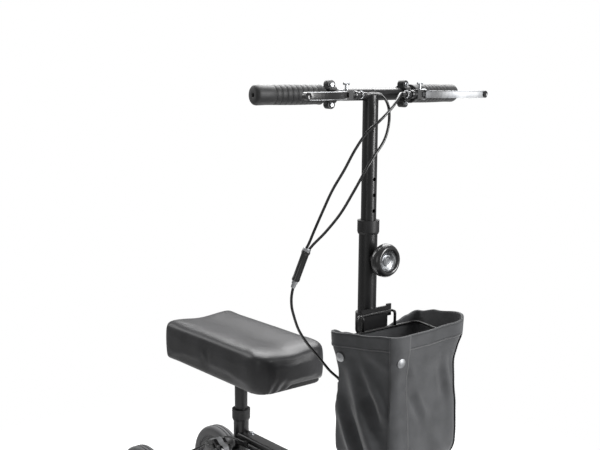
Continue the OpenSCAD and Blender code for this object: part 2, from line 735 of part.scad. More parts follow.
// The bag's outer or inner block: its outline, drawn in towards a smaller bottom
module bag_block(inset, bottom, top) hull() {
    $fn = 32;
    turn = 20;                           // height over which the bottom draws in
    r = bag_corner_r - inset;
    for (p = bag_corners(bag_corner_r)) translate([p[0], p[1], bottom + turn])
        cylinder(r = r, h = top - bottom - turn);
    for (p = bag_corners(bag_corner_r + 16)) translate([p[0], p[1], bottom])
        cylinder(r = r, h = 1);
}

module bag() color("#3d3e41") placed() difference() {
    bag_block(0, bag_top - bag_h, bag_top);
    bag_block(bag_wall, bag_top - bag_h + bag_wall, bag_top + cut);
}

// Press studs near the bag's upright edges, on its sides
module bag_snaps() color("silver") placed() {
    c = bag_corners(bag_corner_r);
    along = (c[2] - c[3]) / norm(c[2] - c[3]);
    inboard = 8;
    both_sides() for (s = [inboard, norm(c[2] - c[3]) - inboard])
        translate(concat(c[3] + s * along, bag_top - 38))
            rotate([0, 0, atan2(along[1], along[0])]) bar_y(8, bag_corner_r + 0.05, 2.5);
}

// ---- handlebar ----

// One side of the bar: Y runs out along the bar from the middle
module along_bar(side) placed() translate([0, 0, bar_z])
    rotate([0, 0, side * bar_sweep]) to_side(side) children();

module stem_tube() color("#1b1b1d") placed() difference() {
    translate([0, 0, stem_bottom]) cylinder(r = inner_r, h = bar_z - stem_bottom);
    translate([0, 0, stem_bottom - cut]) cylinder(r = inner_r - wall, h = bar_z - stem_bottom);
    for (side = [-1, 1]) translate([0, 0, bar_z]) rotate([0, 0, side * bar_sweep])
        to_side(side) bar_y(bar_r, -3, 30);
    translate([0, 0, bar_z]) sphere(bar_r);
    for (k = [-2 : 5]) translate([0, 0, knob_z + k * hole_pitch])
        bar_x(height_hole_r, 0, inner_r + cut);
}

module handlebar() color("#1b1b1d") difference() {
    union() {
        for (side = [-1, 1]) along_bar(side) bar_y(bar_r, 0, bar_l);
        placed() translate([0, 0, bar_z]) sphere(bar_r + bend_swell);
    }
    for (side = [-1, 1]) along_bar(side) bar_y(bar_r - wall, 8, bar_l);
}

module grips() color("#1d1d1f") for (side = [-1, 1]) along_bar(side) difference() {
    union() {
        bar_y(grip_r, bar_l + 2 - grip_l, grip_l);
        bar_y(grip_r + 1, bar_l + 2 - grip_l, 4);
    }
    bar_y(bar_r, bar_l + 1 - grip_l, grip_l - 1);
}

// Clamp, perch and cable adjuster of the two brake levers
module lever_bodies() for (side = [-1, 1]) color("#2a2a2c") {
    along_bar(side) difference() {
        union() {
            bar_y(bar_r + 5, clamp_s - 8, 16);
            for (z = [-17, 17]) translate([0, clamp_s, z]) bar_x(6, -7, 14);
            translate([-3, clamp_s - 5, -17]) cube([6, 10, 34]);
        }
        bar_y(bar_r, clamp_s - 9, 18);
    }
    placed() translate([0, 0, bar_z]) to_side(side) difference() {
        union() {
            translate([0, clamp_s - 12, -perch_z]) cube([pivot[0] + 6, 10, 2 * perch_z]);
            for (z = [fork_z, -perch_z]) translate([0, 0, z]) {
                translate([6, clamp_s - 3, 0]) cube([pivot[0], 14, perch_z - fork_z]);
                translate([pivot[0], pivot[1], 0]) cylinder(r = 9, h = perch_z - fork_z);
            }
            translate([pivot[0], 0, 0]) bar_y(6, clamp_s - 24, 14);
            translate([pivot[0], 0, 0]) bar_y(4.5, clamp_s - 46, 24);
            translate([pivot[0], pivot[1], -perch_z - 1.5])
                cylinder(r = lever_pin_r, h = 2 * perch_z + 3);
        }
        rotate([0, 0, bar_sweep]) bar_y(bar_r + 5, clamp_s - 30, 50);
        translate([pivot[0], lock_pin_y, 0]) cylinder(r = lock_pin_r + run, h = 20);
        translate([pivot[0], 0, 0]) bar_y(1.2, clamp_s - 47, 60);
    }
}

// One lever, drawn for the left side with its pivot as the middle
module lever_shape() difference() {
    union() {
        translate([0, 0, -4]) cylinder(r = lever_hub_r, h = 8);
        translate([0, 0, -4]) linear_extrude(8) polygon([[0, 0], [16, 4], [20, 18], [3, 7]]);
        translate([0, 0, -blade_h / 2]) linear_extrude(blade_h) polygon([[15, 4], [30, 18],
            [42, 42], [48, 70], [49, 100], [48, 114], [40, 114], [40, 100], [39, 72],
            [33, 47], [22, 27], [12, 16]]);
        translate([44, 114, -blade_h / 2]) cylinder(r = 6.5, h = blade_h);
    }
    translate([0, 0, -10]) cylinder(r = lever_pin_r + run, h = 20);
}

module lever(side) color("#2a2a2c") placed() translate([0, 0, bar_z]) to_side(side)
    translate([pivot[0], pivot[1], 0]) lever_shape();
module brake_lever_left() lever(1);
module brake_lever_right() lever(-1);

// The small T-shaped pin that locks a squeezed lever for parking
module lock_pin(side) color("silver") placed()
    translate([pivot[0], side * lock_pin_y, bar_z]) {
        translate([0, 0, 5]) cylinder(r = lock_pin_r, h = 14);
        translate([0, 0, 19]) bar_y(2.2, -6, 12);
    }
module lock_pin_left() lock_pin(1);
module lock_pin_right() lock_pin(-1);

module brake_cables() color("#161616") placed() {
    sweep(near_route, cable_r);
    sweep(far_route, cable_r);
    sweep(lower_route, cable_r);
}

// The junction where two cables pull one
module cable_merger() color("#161616") placed() {
    a = [-32, -118.5, 750.6];
    d = [-48, -134, 689.4] - a;
    translate(a) rotate([0, acos(d[2] / norm(d)), atan2(d[1], d[0])]) cylinder(r = 7, h = norm(d));
}

main_beam();
seat_tube();
seat_collar();
rear_stay();
rear_axle_tube();
rear_axle();
rear_bearings();
head_tube();
headset_bearings();
front_gusset();
front_cross_tube();
kingpins();
cable_clips();
brake_backplate();
frame_cable();
seat_post();
seat_screws();
seat_board();
knee_pad();
seat_knob();
steering_spindle();
pitman_arm();
fold_base();
knuckle_left();
knuckle_right();
front_left_bearings();
front_right_bearings();
tie_rod_left();
tie_rod_right();
front_left_rim();
front_left_tyre();
front_right_rim();
front_right_tyre();
rear_left_rim();
rear_left_tyre();
rear_right_rim();
rear_right_tyre();
brake_drum();
brake_arm();
column_tube();
column_collar();
fold_bolt();
fold_latch();
column_knob();
column_cable();
basket_bracket();
basket_frame();
bag();
bag_snaps();
stem_tube();
handlebar();
grips();
lever_bodies();
brake_lever_left();
brake_lever_right();
lock_pin_left();
lock_pin_right();
brake_cables();
cable_merger();
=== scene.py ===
"""Knee scooter: the finishes and the soft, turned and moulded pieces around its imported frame."""

import math

import bmesh
import bpy
from bpy.props import FloatProperty, FloatVectorProperty, PointerProperty
from mathutils import Matrix, Vector


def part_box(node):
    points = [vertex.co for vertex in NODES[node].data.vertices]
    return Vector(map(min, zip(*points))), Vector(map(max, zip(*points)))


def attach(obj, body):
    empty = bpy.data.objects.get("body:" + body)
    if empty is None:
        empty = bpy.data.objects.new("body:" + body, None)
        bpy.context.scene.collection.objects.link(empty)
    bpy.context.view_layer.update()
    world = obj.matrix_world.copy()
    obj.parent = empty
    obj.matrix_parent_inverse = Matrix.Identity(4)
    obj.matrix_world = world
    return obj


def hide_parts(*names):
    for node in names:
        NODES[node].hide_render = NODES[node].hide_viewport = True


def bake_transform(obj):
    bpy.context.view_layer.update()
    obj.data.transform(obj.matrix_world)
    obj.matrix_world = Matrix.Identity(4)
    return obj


bl_info = {
    "name": "Knee Scooter",
    "version": (1, 0, 0),
    "blender": (4, 5, 0),
    "location": "View3D > Sidebar > Scooter",
    "description": "Builds the looks of a knee scooter around its frame",
    "category": "Add Mesh",
}

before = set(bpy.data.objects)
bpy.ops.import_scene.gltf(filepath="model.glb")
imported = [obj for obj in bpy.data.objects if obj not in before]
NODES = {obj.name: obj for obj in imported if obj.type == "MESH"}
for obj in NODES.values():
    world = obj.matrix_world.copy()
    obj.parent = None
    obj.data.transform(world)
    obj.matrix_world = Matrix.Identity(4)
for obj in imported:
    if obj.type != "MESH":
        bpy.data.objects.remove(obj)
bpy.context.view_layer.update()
MM = 0.001
COLUMN_X = ((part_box("stem_tube")[0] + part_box("stem_tube")[1]) / 2).x
BAR_Z = sum(corner.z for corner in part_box("handlebar")) / 2
# The handlebar's sweep in degrees and its tube's radius in millimetres
BAR_SWEEP, BAR_R = 5.8, 11
Z_AXIS = Vector((0, 0, 1))


# ---- colours and shader helpers ----

def linear(code):
    """An sRGB hex colour as the linear colour that a shader takes."""
    parts = [int(code[i:i + 2], 16) / 255 for i in (1, 3, 5)]
    return tuple(p / 12.92 if p <= 0.04045 else ((p + 0.055) / 1.055) ** 2.4 for p in parts) + (1.0,)


def add(tree, kind, sets=None, links=None, **props):
    """Adds one shader node with its settings, its socket values and what is linked to it."""
    node = tree.nodes.new(kind)
    for name, value in props.items():
        setattr(node, name, value)
    for name, value in (sets or {}).items():
        node.inputs[name].default_value = value
    for name, socket in (links or {}).items():
        tree.links.new(socket, node.inputs[name])
    return node


def finish(name, metallic=0.0, **sockets):
    """A new material: its tree, its shader and the object coordinates that its patterns read."""
    mat = bpy.data.materials.new(name)
    mat.use_nodes = True
    tree = mat.node_tree
    shader = tree.nodes["Principled BSDF"]
    shader.inputs["Metallic"].default_value = metallic
    for socket, value in sockets.items():
        shader.inputs[socket.replace("_", " ")].default_value = value
    where = tree.nodes.new("ShaderNodeTexCoord").outputs["Object"]
    return mat, tree, shader, where


def mottle(tree, shader, where, dark, light, size, rough, detail=4.0):
    """Colour and roughness that wander between two values over patches of the given size."""
    noise = add(tree, "ShaderNodeTexNoise", {"Scale": 1 / size, "Detail": detail}, {"Vector": where})
    ramp = add(tree, "ShaderNodeValToRGB", links={"Fac": noise.outputs["Fac"]})
    ramp.color_ramp.elements[0].position = 0.35
    ramp.color_ramp.elements[1].position = 0.65
    ramp.color_ramp.elements[0].color = linear(dark)
    ramp.color_ramp.elements[1].color = linear(light)
    tree.links.new(ramp.outputs["Color"], shader.inputs["Base Color"])
    gloss = add(tree, "ShaderNodeMapRange", {"To Min": rough[0], "To Max": rough[1]},
                {"Value": noise.outputs["Fac"]})
    tree.links.new(gloss.outputs["Result"], shader.inputs["Roughness"])


def relief(tree, shader, height, distance, strength=1.0, under=None):
    """Bump of the given real depth on a shader, over another bump if there is one."""
    links = {"Height": height}
    if under is not None:
        links["Normal"] = under.outputs["Normal"]
    node = add(tree, "ShaderNodeBump", {"Distance": distance, "Strength": strength}, links)
    tree.links.new(node.outputs["Normal"], shader.inputs["Normal"])
    return node

def grain(tree, shader, where, size, detail, depth, strength, under=None):
    """Bump from noise, with grains of the given size and real depth."""
    noise = add(tree, "ShaderNodeTexNoise", {"Scale": 1 / size, "Detail": detail}, {"Vector": where})
    relief(tree, shader, noise.outputs["Fac"], depth, strength, under)


# ---- materials, named for what the real ones are ----

def powder_coated_aluminium():
    """Aluminium tube under a black powder coat: deep black, a soft gloss and a faint orange peel."""
    mat, tree, shader, where = finish("powder_coated_aluminium", Coat_Weight=0.15, Coat_Roughness=0.2)
    mottle(tree, shader, where, "#0d0d0e", "#141415", 60 * MM, (0.30, 0.40))
    grain(tree, shader, where, 1.6 * MM, 2.0, 0.05 * MM, 0.35)
    return mat


def zinc_plated_steel():
    """Bolts and pins in bright zinc: silver, a little cloudy, fine turning marks."""
    mat, tree, shader, where = finish("zinc_plated_steel", metallic=1.0)
    mottle(tree, shader, where, "#939598", "#b7b9bb", 9 * MM, (0.26, 0.42))
    grain(tree, shader, where, 0.5 * MM, 2.0, 0.02 * MM, 0.4)
    return mat


def anodised_aluminium():
    """Pressed aluminium with a clear anodised skin: pale, matt satin, brushed along its length."""
    mat, tree, shader, where = finish("anodised_aluminium", metallic=1.0)
    mottle(tree, shader, where, "#97999c", "#b9babb", 25 * MM, (0.52, 0.62))
    stretch = add(tree, "ShaderNodeMapping", {"Scale": (200, 30, 2500)}, {"Vector": where})
    brush = add(tree, "ShaderNodeTexNoise", {"Scale": 1.0, "Detail": 2.0}, {"Vector": stretch.outputs["Vector"]})
    relief(tree, shader, brush.outputs["Fac"], 0.03 * MM, 0.4)
    return mat


def spun_steel(centre):
    """The knob's disc: steel spun on a lathe, so its rings catch light in two fans."""
    mat, tree, shader, where = finish("spun_steel", metallic=1.0, Anisotropic=0.75)
    mottle(tree, shader, where, "#8f9194", "#b7b9bb", 6 * MM, (0.30, 0.40))
    centred = add(tree, "ShaderNodeMapping", {"Location": tuple(-c for c in centre)}, {"Vector": where})
    rings = add(tree, "ShaderNodeTexWave", {"Scale": 1 / (6 * MM)}, {"Vector": centred.outputs["Vector"]},
                wave_type="RINGS", rings_direction="X")
    relief(tree, shader, rings.outputs["Fac"], 0.05 * MM, 0.5)
    return mat


def moulded_nylon():
    """Glass-filled nylon from a textured mould: near black, satin, a fine spark-eroded grain."""
    mat, tree, shader, where = finish("moulded_nylon")
    mottle(tree, shader, where, "#161617", "#1e1e1f", 30 * MM, (0.42, 0.54))
    grain(tree, shader, where, 0.7 * MM, 3.0, 0.08 * MM, 0.5)
    return mat


def gloss_abs():
    """ABS from a polished mould, on the knobs' rims: black with a clear highlight."""
    mat, tree, shader, where = finish("gloss_abs", Coat_Weight=0.4, Coat_Roughness=0.08)
    mottle(tree, shader, where, "#1a1a1b", "#222223", 40 * MM, (0.24, 0.32))
    grain(tree, shader, where, 12 * MM, 1.0, 0.15 * MM, 0.3)
    return mat


def painted_highlight_grey():
    """Pale grey, matt, on the raised lobes of the clamp knob: a painted highlight where their rim catches the
    light.
    """
    mat, tree, shader, where = finish("painted_highlight_grey")
    mottle(tree, shader, where, "#8d8e90", "#9d9ea0", 20 * MM, (0.42, 0.52))
    grain(tree, shader, where, 0.7 * MM, 3.0, 0.06 * MM, 0.4)
    return mat


def red_pvc():
    """The latch's dipped grip: dull red PVC."""
    mat, tree, shader, where = finish("red_pvc")
    mottle(tree, shader, where, "#8a1414", "#a11a19", 12 * MM, (0.38, 0.48))
    grain(tree, shader, where, 3 * MM, 2.0, 0.1 * MM, 0.3)
    return mat


def cast_polyurethane():
    """Solid tyre of cast polyurethane: dark grey, matt, with a dusty bloom and fine scuffs."""
    mat, tree, shader, where = finish("cast_polyurethane", Sheen_Weight=0.25, Sheen_Roughness=0.6)
    mottle(tree, shader, where, "#262628", "#363638", 26 * MM, (0.62, 0.78))
    grain(tree, shader, where, 1.2 * MM, 5.0, 0.15 * MM, 0.5)
    return mat


def moulded_rubber():
    """Thermoplastic rubber of the grips: black, soft, slightly dusty on its high spots."""
    mat, tree, shader, where = finish("moulded_rubber", Sheen_Weight=0.15, Sheen_Roughness=0.5)
    mottle(tree, shader, where, "#1b1b1c", "#262627", 18 * MM, (0.46, 0.58))
    grain(tree, shader, where, 0.9 * MM, 3.0, 0.08 * MM, 0.5)
    return mat


def pvc_sheath():
    """Extruded PVC round a brake cable: smooth, black, with a long gleam."""
    mat, tree, shader, where = finish("pvc_sheath", Coat_Weight=0.3, Coat_Roughness=0.12)
    mottle(tree, shader, where, "#0e0e0f", "#151516", 30 * MM, (0.26, 0.36))
    grain(tree, shader, where, 2 * MM, 2.0, 0.03 * MM, 0.3)
    return mat


def synthetic_leather():
    """Polyurethane leather on the knee pad: near black, a pebbled grain, soft gloss."""
    mat, tree, shader, where = finish("synthetic_leather", Coat_Weight=0.12, Coat_Roughness=0.35)
    mottle(tree, shader, where, "#1b1b1d", "#29292b", 45 * MM, (0.36, 0.48), detail=6.0)
    # Real grain is about 1 mm; drawn at 1.7 mm so that it still shows at this size
    cells = add(tree, "ShaderNodeTexVoronoi", {"Scale": 1 / (1.7 * MM)}, {"Vector": where},
                feature="SMOOTH_F1")
    pebbles = relief(tree, shader, cells.outputs["Distance"], 0.16 * MM, 0.5)
    creases = add(tree, "ShaderNodeTexNoise", {"Scale": 1 / (22 * MM), "Detail": 5.0, "Distortion": 0.6},
                  {"Vector": where})
    relief(tree, shader, creases.outputs["Fac"], 0.9 * MM, 0.35, under=pebbles)
    return mat


def woven_canvas():
    """600-denier polyester canvas: charcoal, plain weave, soft sheen. Needs a UV map in metres."""
    mat, tree, shader, where = finish("woven_canvas", Sheen_Weight=0.35, Sheen_Roughness=0.45)
    mottle(tree, shader, where, "#3a3b3d", "#47484a", 30 * MM, (0.74, 0.88), detail=6.0)
    cloth = tree.nodes.new("ShaderNodeTexCoord").outputs["UV"]
    # Threads are about 0.6 mm apart; drawn at 1.3 mm so that they still show at this size
    pitch = 1.3 * MM
    threads = [add(tree, "ShaderNodeTexWave", {"Scale": 1 / pitch / 3.14, "Distortion": 1.0,
                                              "Detail": 1.0, "Detail Scale": 1.0},
                   {"Vector": cloth}, bands_direction=way) for way in ("X", "Y")]
    weave = add(tree, "ShaderNodeMath", {0: 0.5}, operation="MULTIPLY")
    for i, thread in enumerate(threads):
        tree.links.new(thread.outputs["Fac"], weave.inputs[i])
    woven = relief(tree, shader, weave.outputs["Value"], 0.22 * MM, 0.7)
    grain(tree, shader, where, 8 * MM, 6.0, 0.5 * MM, 0.4, under=woven)
    return mat


def painted_floor():
    """A seamless pale floor: smooth matt paint that runs out into the backdrop."""
    mat, tree, shader, where = finish("painted_floor")
    mottle(tree, shader, where, "#f1f1f1", "#f6f6f6", 0.8, (0.55, 0.65))
    reach = add(tree, "ShaderNodeVectorMath", links={0: where}, operation="LENGTH")
    edge = add(tree, "ShaderNodeMapRange", {"From Min": 0.55, "From Max": 1.15},
               {"Value": reach.outputs["Value"]})
    clear = add(tree, "ShaderNodeBsdfTransparent")
    mix = add(tree, "ShaderNodeMixShader", links={0: edge.outputs["Result"], 1: shader.outputs["BSDF"],
                                                  2: clear.outputs["BSDF"]})
    tree.links.new(mix.outputs["Shader"], tree.nodes["Material Output"].inputs["Surface"])
    return mat


MATERIALS = {}


def surface(name):
    """The named material, made the first time that it is asked for."""
    makers = {
        "tube": powder_coated_aluminium, "zinc": zinc_plated_steel, "silver": anodised_aluminium,
        "nylon": moulded_nylon, "abs": gloss_abs, "grey": painted_highlight_grey, "red": red_pvc,
        "tyre": cast_polyurethane, "rubber": moulded_rubber, "sheath": pvc_sheath,
        "leather": synthetic_leather, "canvas": woven_canvas, "floor": painted_floor,
    }
    if name not in MATERIALS:
        MATERIALS[name] = makers[name]()
    return MATERIALS[name]


# ---- mesh helpers ----

def piece(name, bm, finish_name, body=None, replaces=(), smooth=True):
    """Makes a mesh object of a bmesh, with its material, body and slot."""
    mesh = bpy.data.meshes.new(name)
    bm.to_mesh(mesh)
    bm.free()
    mesh.shade_smooth() if smooth else mesh.shade_flat()
    obj = bpy.data.objects.new(name, mesh)
    bpy.context.scene.collection.objects.link(obj)
    obj.data.materials.append(surface(finish_name))
    if body:
        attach(obj, body)
    if replaces:
        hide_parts(*replaces)
    return obj


def auto_smooth(obj, degrees=35):
    """Smooth shading that keeps edges sharper than the given angle."""
    bm = bmesh.new()
    bm.from_mesh(obj.data)
    for edge in bm.edges:
        if len(edge.link_faces) == 2 and edge.calc_face_angle(0) > math.radians(degrees):
            edge.smooth = False
    bm.to_mesh(obj.data)
    bm.free()


def heading(start, along):
    """A placement whose Z axis points along a direction, from a start point."""
    return Matrix.Translation(start) @ Vector(along).to_track_quat("Z", "Y").to_matrix().to_4x4()


def lathe(bm, profile, place, steps=48):
    """Turns an open profile of (radius, height) pairs in millimetres about Z, then places it."""
    before = set(bm.verts)
    made = [bm.verts.new((r * MM, 0, h * MM)) for r, h in profile]
    edges = [bm.edges.new(pair) for pair in zip(made, made[1:])]
    bmesh.ops.spin(bm, geom=made + edges, cent=(0, 0, 0), axis=(0, 0, 1), angle=math.tau,
                   steps=steps, use_merge=True)
    bmesh.ops.remove_doubles(bm, verts=[v for v in bm.verts if v not in before], dist=1e-6)
    turned = [v for v in bm.verts if v not in before]
    bmesh.ops.transform(bm, matrix=place, verts=turned)
    kept = set(turned)
    faces = [f for f in bm.faces if all(v in kept for v in f.verts)]
    bmesh.ops.recalc_face_normals(bm, faces=faces)

def turned_piece(name, profile, place, finish_name, body, replaces=(), steps=48):
    """A piece that is one turned profile."""
    bm = bmesh.new()
    lathe(bm, profile, place, steps)
    obj = piece(name, bm, finish_name, body, replaces)
    auto_smooth(obj)
    return obj


def smooth_path(points, steps=8):
    """Points on one smooth curve through the given points."""
    pts = [Vector(p) for p in points]
    out = []
    for i in range(len(pts) - 1):
        a, b = pts[max(i - 1, 0)], pts[i]
        c, d = pts[i + 1], pts[min(i + 2, len(pts) - 1)]
        for s in range(steps):
            t = s / steps
            out.append(0.5 * (2 * b + (c - a) * t + (2 * a - 5 * b + 4 * c - d) * t * t
                              + (3 * b - a - 3 * c + d) * t ** 3))
    return out + [pts[-1]]


def tube_mesh(name, points, radius, closed=False):
    """A round tube along a path, as a mesh with closed ends."""
    curve = bpy.data.curves.new(name, "CURVE")
    curve.dimensions = "3D"
    curve.bevel_depth = radius
    curve.bevel_resolution = 5
    curve.use_fill_caps = not closed
    spline = curve.splines.new("POLY")
    spline.points.add(len(points) - 1)
    for point, place in zip(spline.points, points):
        point.co = (*place, 1)
    spline.use_cyclic_u = closed
    helper = bpy.data.objects.new(name + "_path", curve)
    bpy.context.scene.collection.objects.link(helper)
    bpy.context.view_layer.update()
    mesh = bpy.data.meshes.new_from_object(helper.evaluated_get(bpy.context.evaluated_depsgraph_get()))
    bpy.data.objects.remove(helper)
    bm = bmesh.new()
    bm.from_mesh(mesh)
    bpy.data.meshes.remove(mesh)
    bmesh.ops.remove_doubles(bm, verts=bm.verts[:], dist=1e-6)
    bmesh.ops.recalc_face_normals(bm, faces=bm.faces[:])
    return bm


def rounded_path(corners, radius, closed=True, steps=6):
    """A path through corners, each turned on an arc: one radius for all, or a list of them."""
    pts = [Vector(c) for c in corners]
    out = []
    count = len(pts)
    radii = list(radius) if hasattr(radius, "__len__") else [radius] * count
    for i, corner in enumerate(pts):
        if not closed and i in (0, count - 1):
            out.append(corner)
            continue
        a = (pts[i - 1] - corner).normalized()
        b = (pts[(i + 1) % count] - corner).normalized()
        half = a.angle(b) / 2
        back = radii[i] / math.tan(half)
        middle = corner + (a + b).normalized() * radii[i] / math.sin(half)
        first, last = corner + a * back - middle, corner + b * back - middle
        for s in range(steps + 1):
            out.append(middle + first.slerp(last, s / steps) * radii[i])
    return out


def soften(bm, edges, offset, segments):
    """Rounds edges, and returns the vertices that this makes."""
    return bmesh.ops.bevel(bm, geom=edges, offset=offset, offset_type="OFFSET", segments=segments,
                           profile=0.5, affect="EDGES", material=-1)["verts"]

def raise_faces(bm, faces, height):
    """Extrudes faces straight up."""
    made = bmesh.ops.extrude_face_region(bm, geom=faces)["geom"]
    up = [v for v in made if isinstance(v, bmesh.types.BMVert)]
    bmesh.ops.translate(bm, vec=(0, 0, height), verts=up)

def slab(middle, half, bottom, top, radii, steps):
    """A slab with its upright edges rounded by radii in millimetres, from the back right one, forwards first."""
    corners = [(-half.x, -half.y), (half.x, -half.y), (half.x, half.y), (-half.x, half.y)]
    path = rounded_path([(x, y, 0) for x, y in corners], [r * MM for r in radii], steps=steps)
    bm = bmesh.new()
    face = bm.faces.new([bm.verts.new((middle.x + p.x, middle.y + p.y, bottom)) for p in path])
    raise_faces(bm, [face], top - bottom)
    return bm

def block(bm, size, place, chamfer):
    """A box with chamfered edges."""
    made = bmesh.ops.create_cube(bm, size=1.0)["verts"]
    bmesh.ops.scale(bm, vec=size, verts=made)
    edges = list({e for v in made for e in v.link_edges})
    bmesh.ops.transform(bm, matrix=place, verts=soften(bm, edges, chamfer, 1))

def local(x, y, z):
    """A point given in millimetres from the column's axis, in the frame's metres."""
    return Vector((COLUMN_X + x * MM, y * MM, z * MM))


# ---- settings ----

class ScooterSettings(bpy.types.PropertyGroup):
    """What a user may change."""

    lens: FloatProperty(name="Lens", description="Focal length of the camera", default=56.89, unit="CAMERA")
    pad_swell: FloatProperty(name="Pad swell", description="How far the pad's foam may push its cover out",
                             default=2 * MM, min=0, max=15 * MM, unit="LENGTH")
    pad_trough: FloatProperty(name="Pad trough", description="Depth of the hollow along the pad's top",
                              default=4 * MM, min=0, max=12 * MM, unit="LENGTH")
    cable_radius: FloatProperty(name="Cable radius", description="Outside radius of the brake cables",
                                default=2.5 * MM, min=1 * MM, max=4 * MM, unit="LENGTH")
    wire_radius: FloatProperty(name="Wire radius", description="Radius of the bag's wire frame",
                               default=2.4 * MM, min=1 * MM, max=4 * MM, unit="LENGTH")
    background: FloatVectorProperty(name="Background", description="Colour behind the floor",
                                    default=(1.0, 1.0, 1.0), subtype="COLOR", min=0, max=1)


def settings():
    """The scene's settings."""
    return bpy.context.scene.knee_scooter


# ---- stage ----

class SCOOTER_OT_stage(bpy.types.Operator):
    """Pale floor, soft studio light and the camera"""

    bl_idname = "scooter.stage"
    bl_label = "Stage"

    # Each light's place and aim in metres, its size and its power in watts
    LIGHTS = (
        ("key", (2.8, 1.0, 1.5), (0, 0, 0.6), (0.8, 2.0), 100),
        ("fill", (1.2, -2.8, 1.3), (0, 0, 0.6), (0.8, 1.8), 7),
        ("back", (-2.4, -1.2, 2.0), (0, 0, 0.5), (0.6, 1.4), 16),
        ("top", (-0.9, 0.9, 2.6), (-0.2, 0, 0.4), (2.4, 2.4), 120),
    )
    # Where the camera stands from the column's foot in millimetres, and its turn, tilt and roll in degrees
    CAMERA_AT = (1234.1, -1170.4, 1059.1)
    CAMERA_TURN = (50.691, 9.033, 0.392)

    def execute(self, context):
        scene = context.scene
        bm = bmesh.new()
        bmesh.ops.create_grid(bm, x_segments=2, y_segments=2, size=2)
        floor = piece("studio_floor", bm, "floor", smooth=False)
        world = bpy.data.worlds.new("studio")
        world.use_nodes = True
        tree = world.node_tree
        sky = tree.nodes["Background"]
        sky.inputs["Color"].default_value = (*settings().background, 1)
        # The backdrop is seen white, and lights the scooter less than it shows
        ray = add(tree, "ShaderNodeLightPath")
        level = add(tree, "ShaderNodeMapRange", {"To Min": 0.30, "To Max": 1.0},
                    {"Value": ray.outputs["Is Camera Ray"]})
        tree.links.new(level.outputs["Result"], sky.inputs["Strength"])
        scene.world = world
        scene.view_settings.view_transform = "Standard"
        for name, place, aim, size, power in self.LIGHTS:
            data = bpy.data.lights.new(name, "AREA")
            data.shape = "RECTANGLE"
            data.size, data.size_y = size
            data.energy = power
            lamp = bpy.data.objects.new(name, data)
            lamp.location = place
            lamp.rotation_euler = (Vector(aim) - Vector(place)).to_track_quat("-Z", "Y").to_euler()
            scene.collection.objects.link(lamp)
        data = bpy.data.cameras.new("camera")
        data.lens = settings().lens
        data.sensor_width = 36
        data.clip_end = 50
        camera = bpy.data.objects.new("camera", data)
        azimuth, pitch, roll = (math.radians(angle) for angle in self.CAMERA_TURN)
        right = Vector((math.cos(azimuth), math.sin(azimuth), 0))
        ahead = Vector((-math.sin(azimuth), math.cos(azimuth), 0))
        look = ahead * math.cos(pitch) - Z_AXIS * math.sin(pitch)
        up = ahead * math.sin(pitch) + Z_AXIS * math.cos(pitch)
        across = right * math.cos(roll) + up * math.sin(roll)
        above = -right * math.sin(roll) + up * math.cos(roll)
        turn = Matrix((across, above, -look)).transposed().to_4x4()
        camera.matrix_world = Matrix.Translation(local(*self.CAMERA_AT)) @ turn
        scene.collection.objects.link(camera)
        scene.camera = camera
        return {"FINISHED"}


# ---- finishes of the frame's own nodes ----

class SCOOTER_OT_frame_finishes(bpy.types.Operator):
    """Gives each node that stays its material"""

    bl_idname = "scooter.frame_finishes"
    bl_label = "Frame finishes"

    GROUPS = {
        "tube": ("main_beam", "seat_tube", "rear_stay", "rear_axle_tube", "head_tube", "front_gusset",
                 "front_cross_tube", "seat_post", "pitman_arm", "fold_base", "column_tube", "stem_tube",
                 "handlebar", "knuckle_left", "knuckle_right", "basket_bracket"),
        "zinc": ("rear_axle", "rear_bearings", "headset_bearings", "kingpins", "seat_screws",
                 "front_left_bearings", "front_right_bearings", "fold_bolt", "lock_pin_left",
                 "lock_pin_right", "tie_rod_left", "tie_rod_right", "brake_arm", "brake_backplate",
                 "brake_drum", "steering_spindle"),
        "nylon": ("seat_collar", "column_collar", "cable_clips", "lever_bodies", "front_left_rim",
                  "front_right_rim", "rear_left_rim", "rear_right_rim", "seat_board",
                  "brake_lever_left", "brake_lever_right"),
        "abs": ("column_knob", "seat_knob", "cable_merger"),
        "red": ("fold_latch",),
        "rubber": ("grips",),
        "tyre": ("front_left_tyre", "front_right_tyre", "rear_left_tyre", "rear_right_tyre"),
        "sheath": ("frame_cable", "column_cable", "brake_cables", "basket_frame"),
        "leather": ("knee_pad",),
        "canvas": ("bag",),
        "silver": ("bag_snaps",),
    }

    def execute(self, context):
        for name, nodes in self.GROUPS.items():
            for node in nodes:
                slots = NODES[node].data.materials
                slots.clear()
                slots.append(surface(name))
        return {"FINISHED"}


# ---- knee pad ----

def clamped(value, low, high):
    """The value, kept between two limits."""
    return max(low, min(high, value))


def puff(obj, frames, swell):
    """Swells a closed skin with a cloth simulation, as far as its foam may push, and applies it."""
    before = [v.co.copy() for v in obj.data.vertices]
    cloth = obj.modifiers.new("cloth", "CLOTH")
    cloth.settings.quality = 6
    cloth.settings.mass = 0.35
    cloth.settings.tension_stiffness = 18
    cloth.settings.compression_stiffness = 18
    cloth.settings.shear_stiffness = 6
    cloth.settings.bending_stiffness = 1.2
    cloth.settings.use_pressure = True
    cloth.settings.uniform_pressure_force = 4
    cloth.settings.effector_weights.gravity = 0
    cloth.point_cache.frame_start = 1
    cloth.point_cache.frame_end = frames
    for step in range(1, frames + 1):
        bpy.context.scene.frame_set(step)
    shaped = bpy.data.meshes.new_from_object(
        obj.evaluated_get(bpy.context.evaluated_depsgraph_get()))
    obj.modifiers.remove(cloth)
    for vert, old, new in zip(obj.data.vertices, before, shaped.vertices):
        move = new.co - old
        if move.length > swell:
            move *= swell / move.length
        vert.co = old + move
    bpy.data.meshes.remove(shaped)
    bpy.context.scene.frame_set(1)


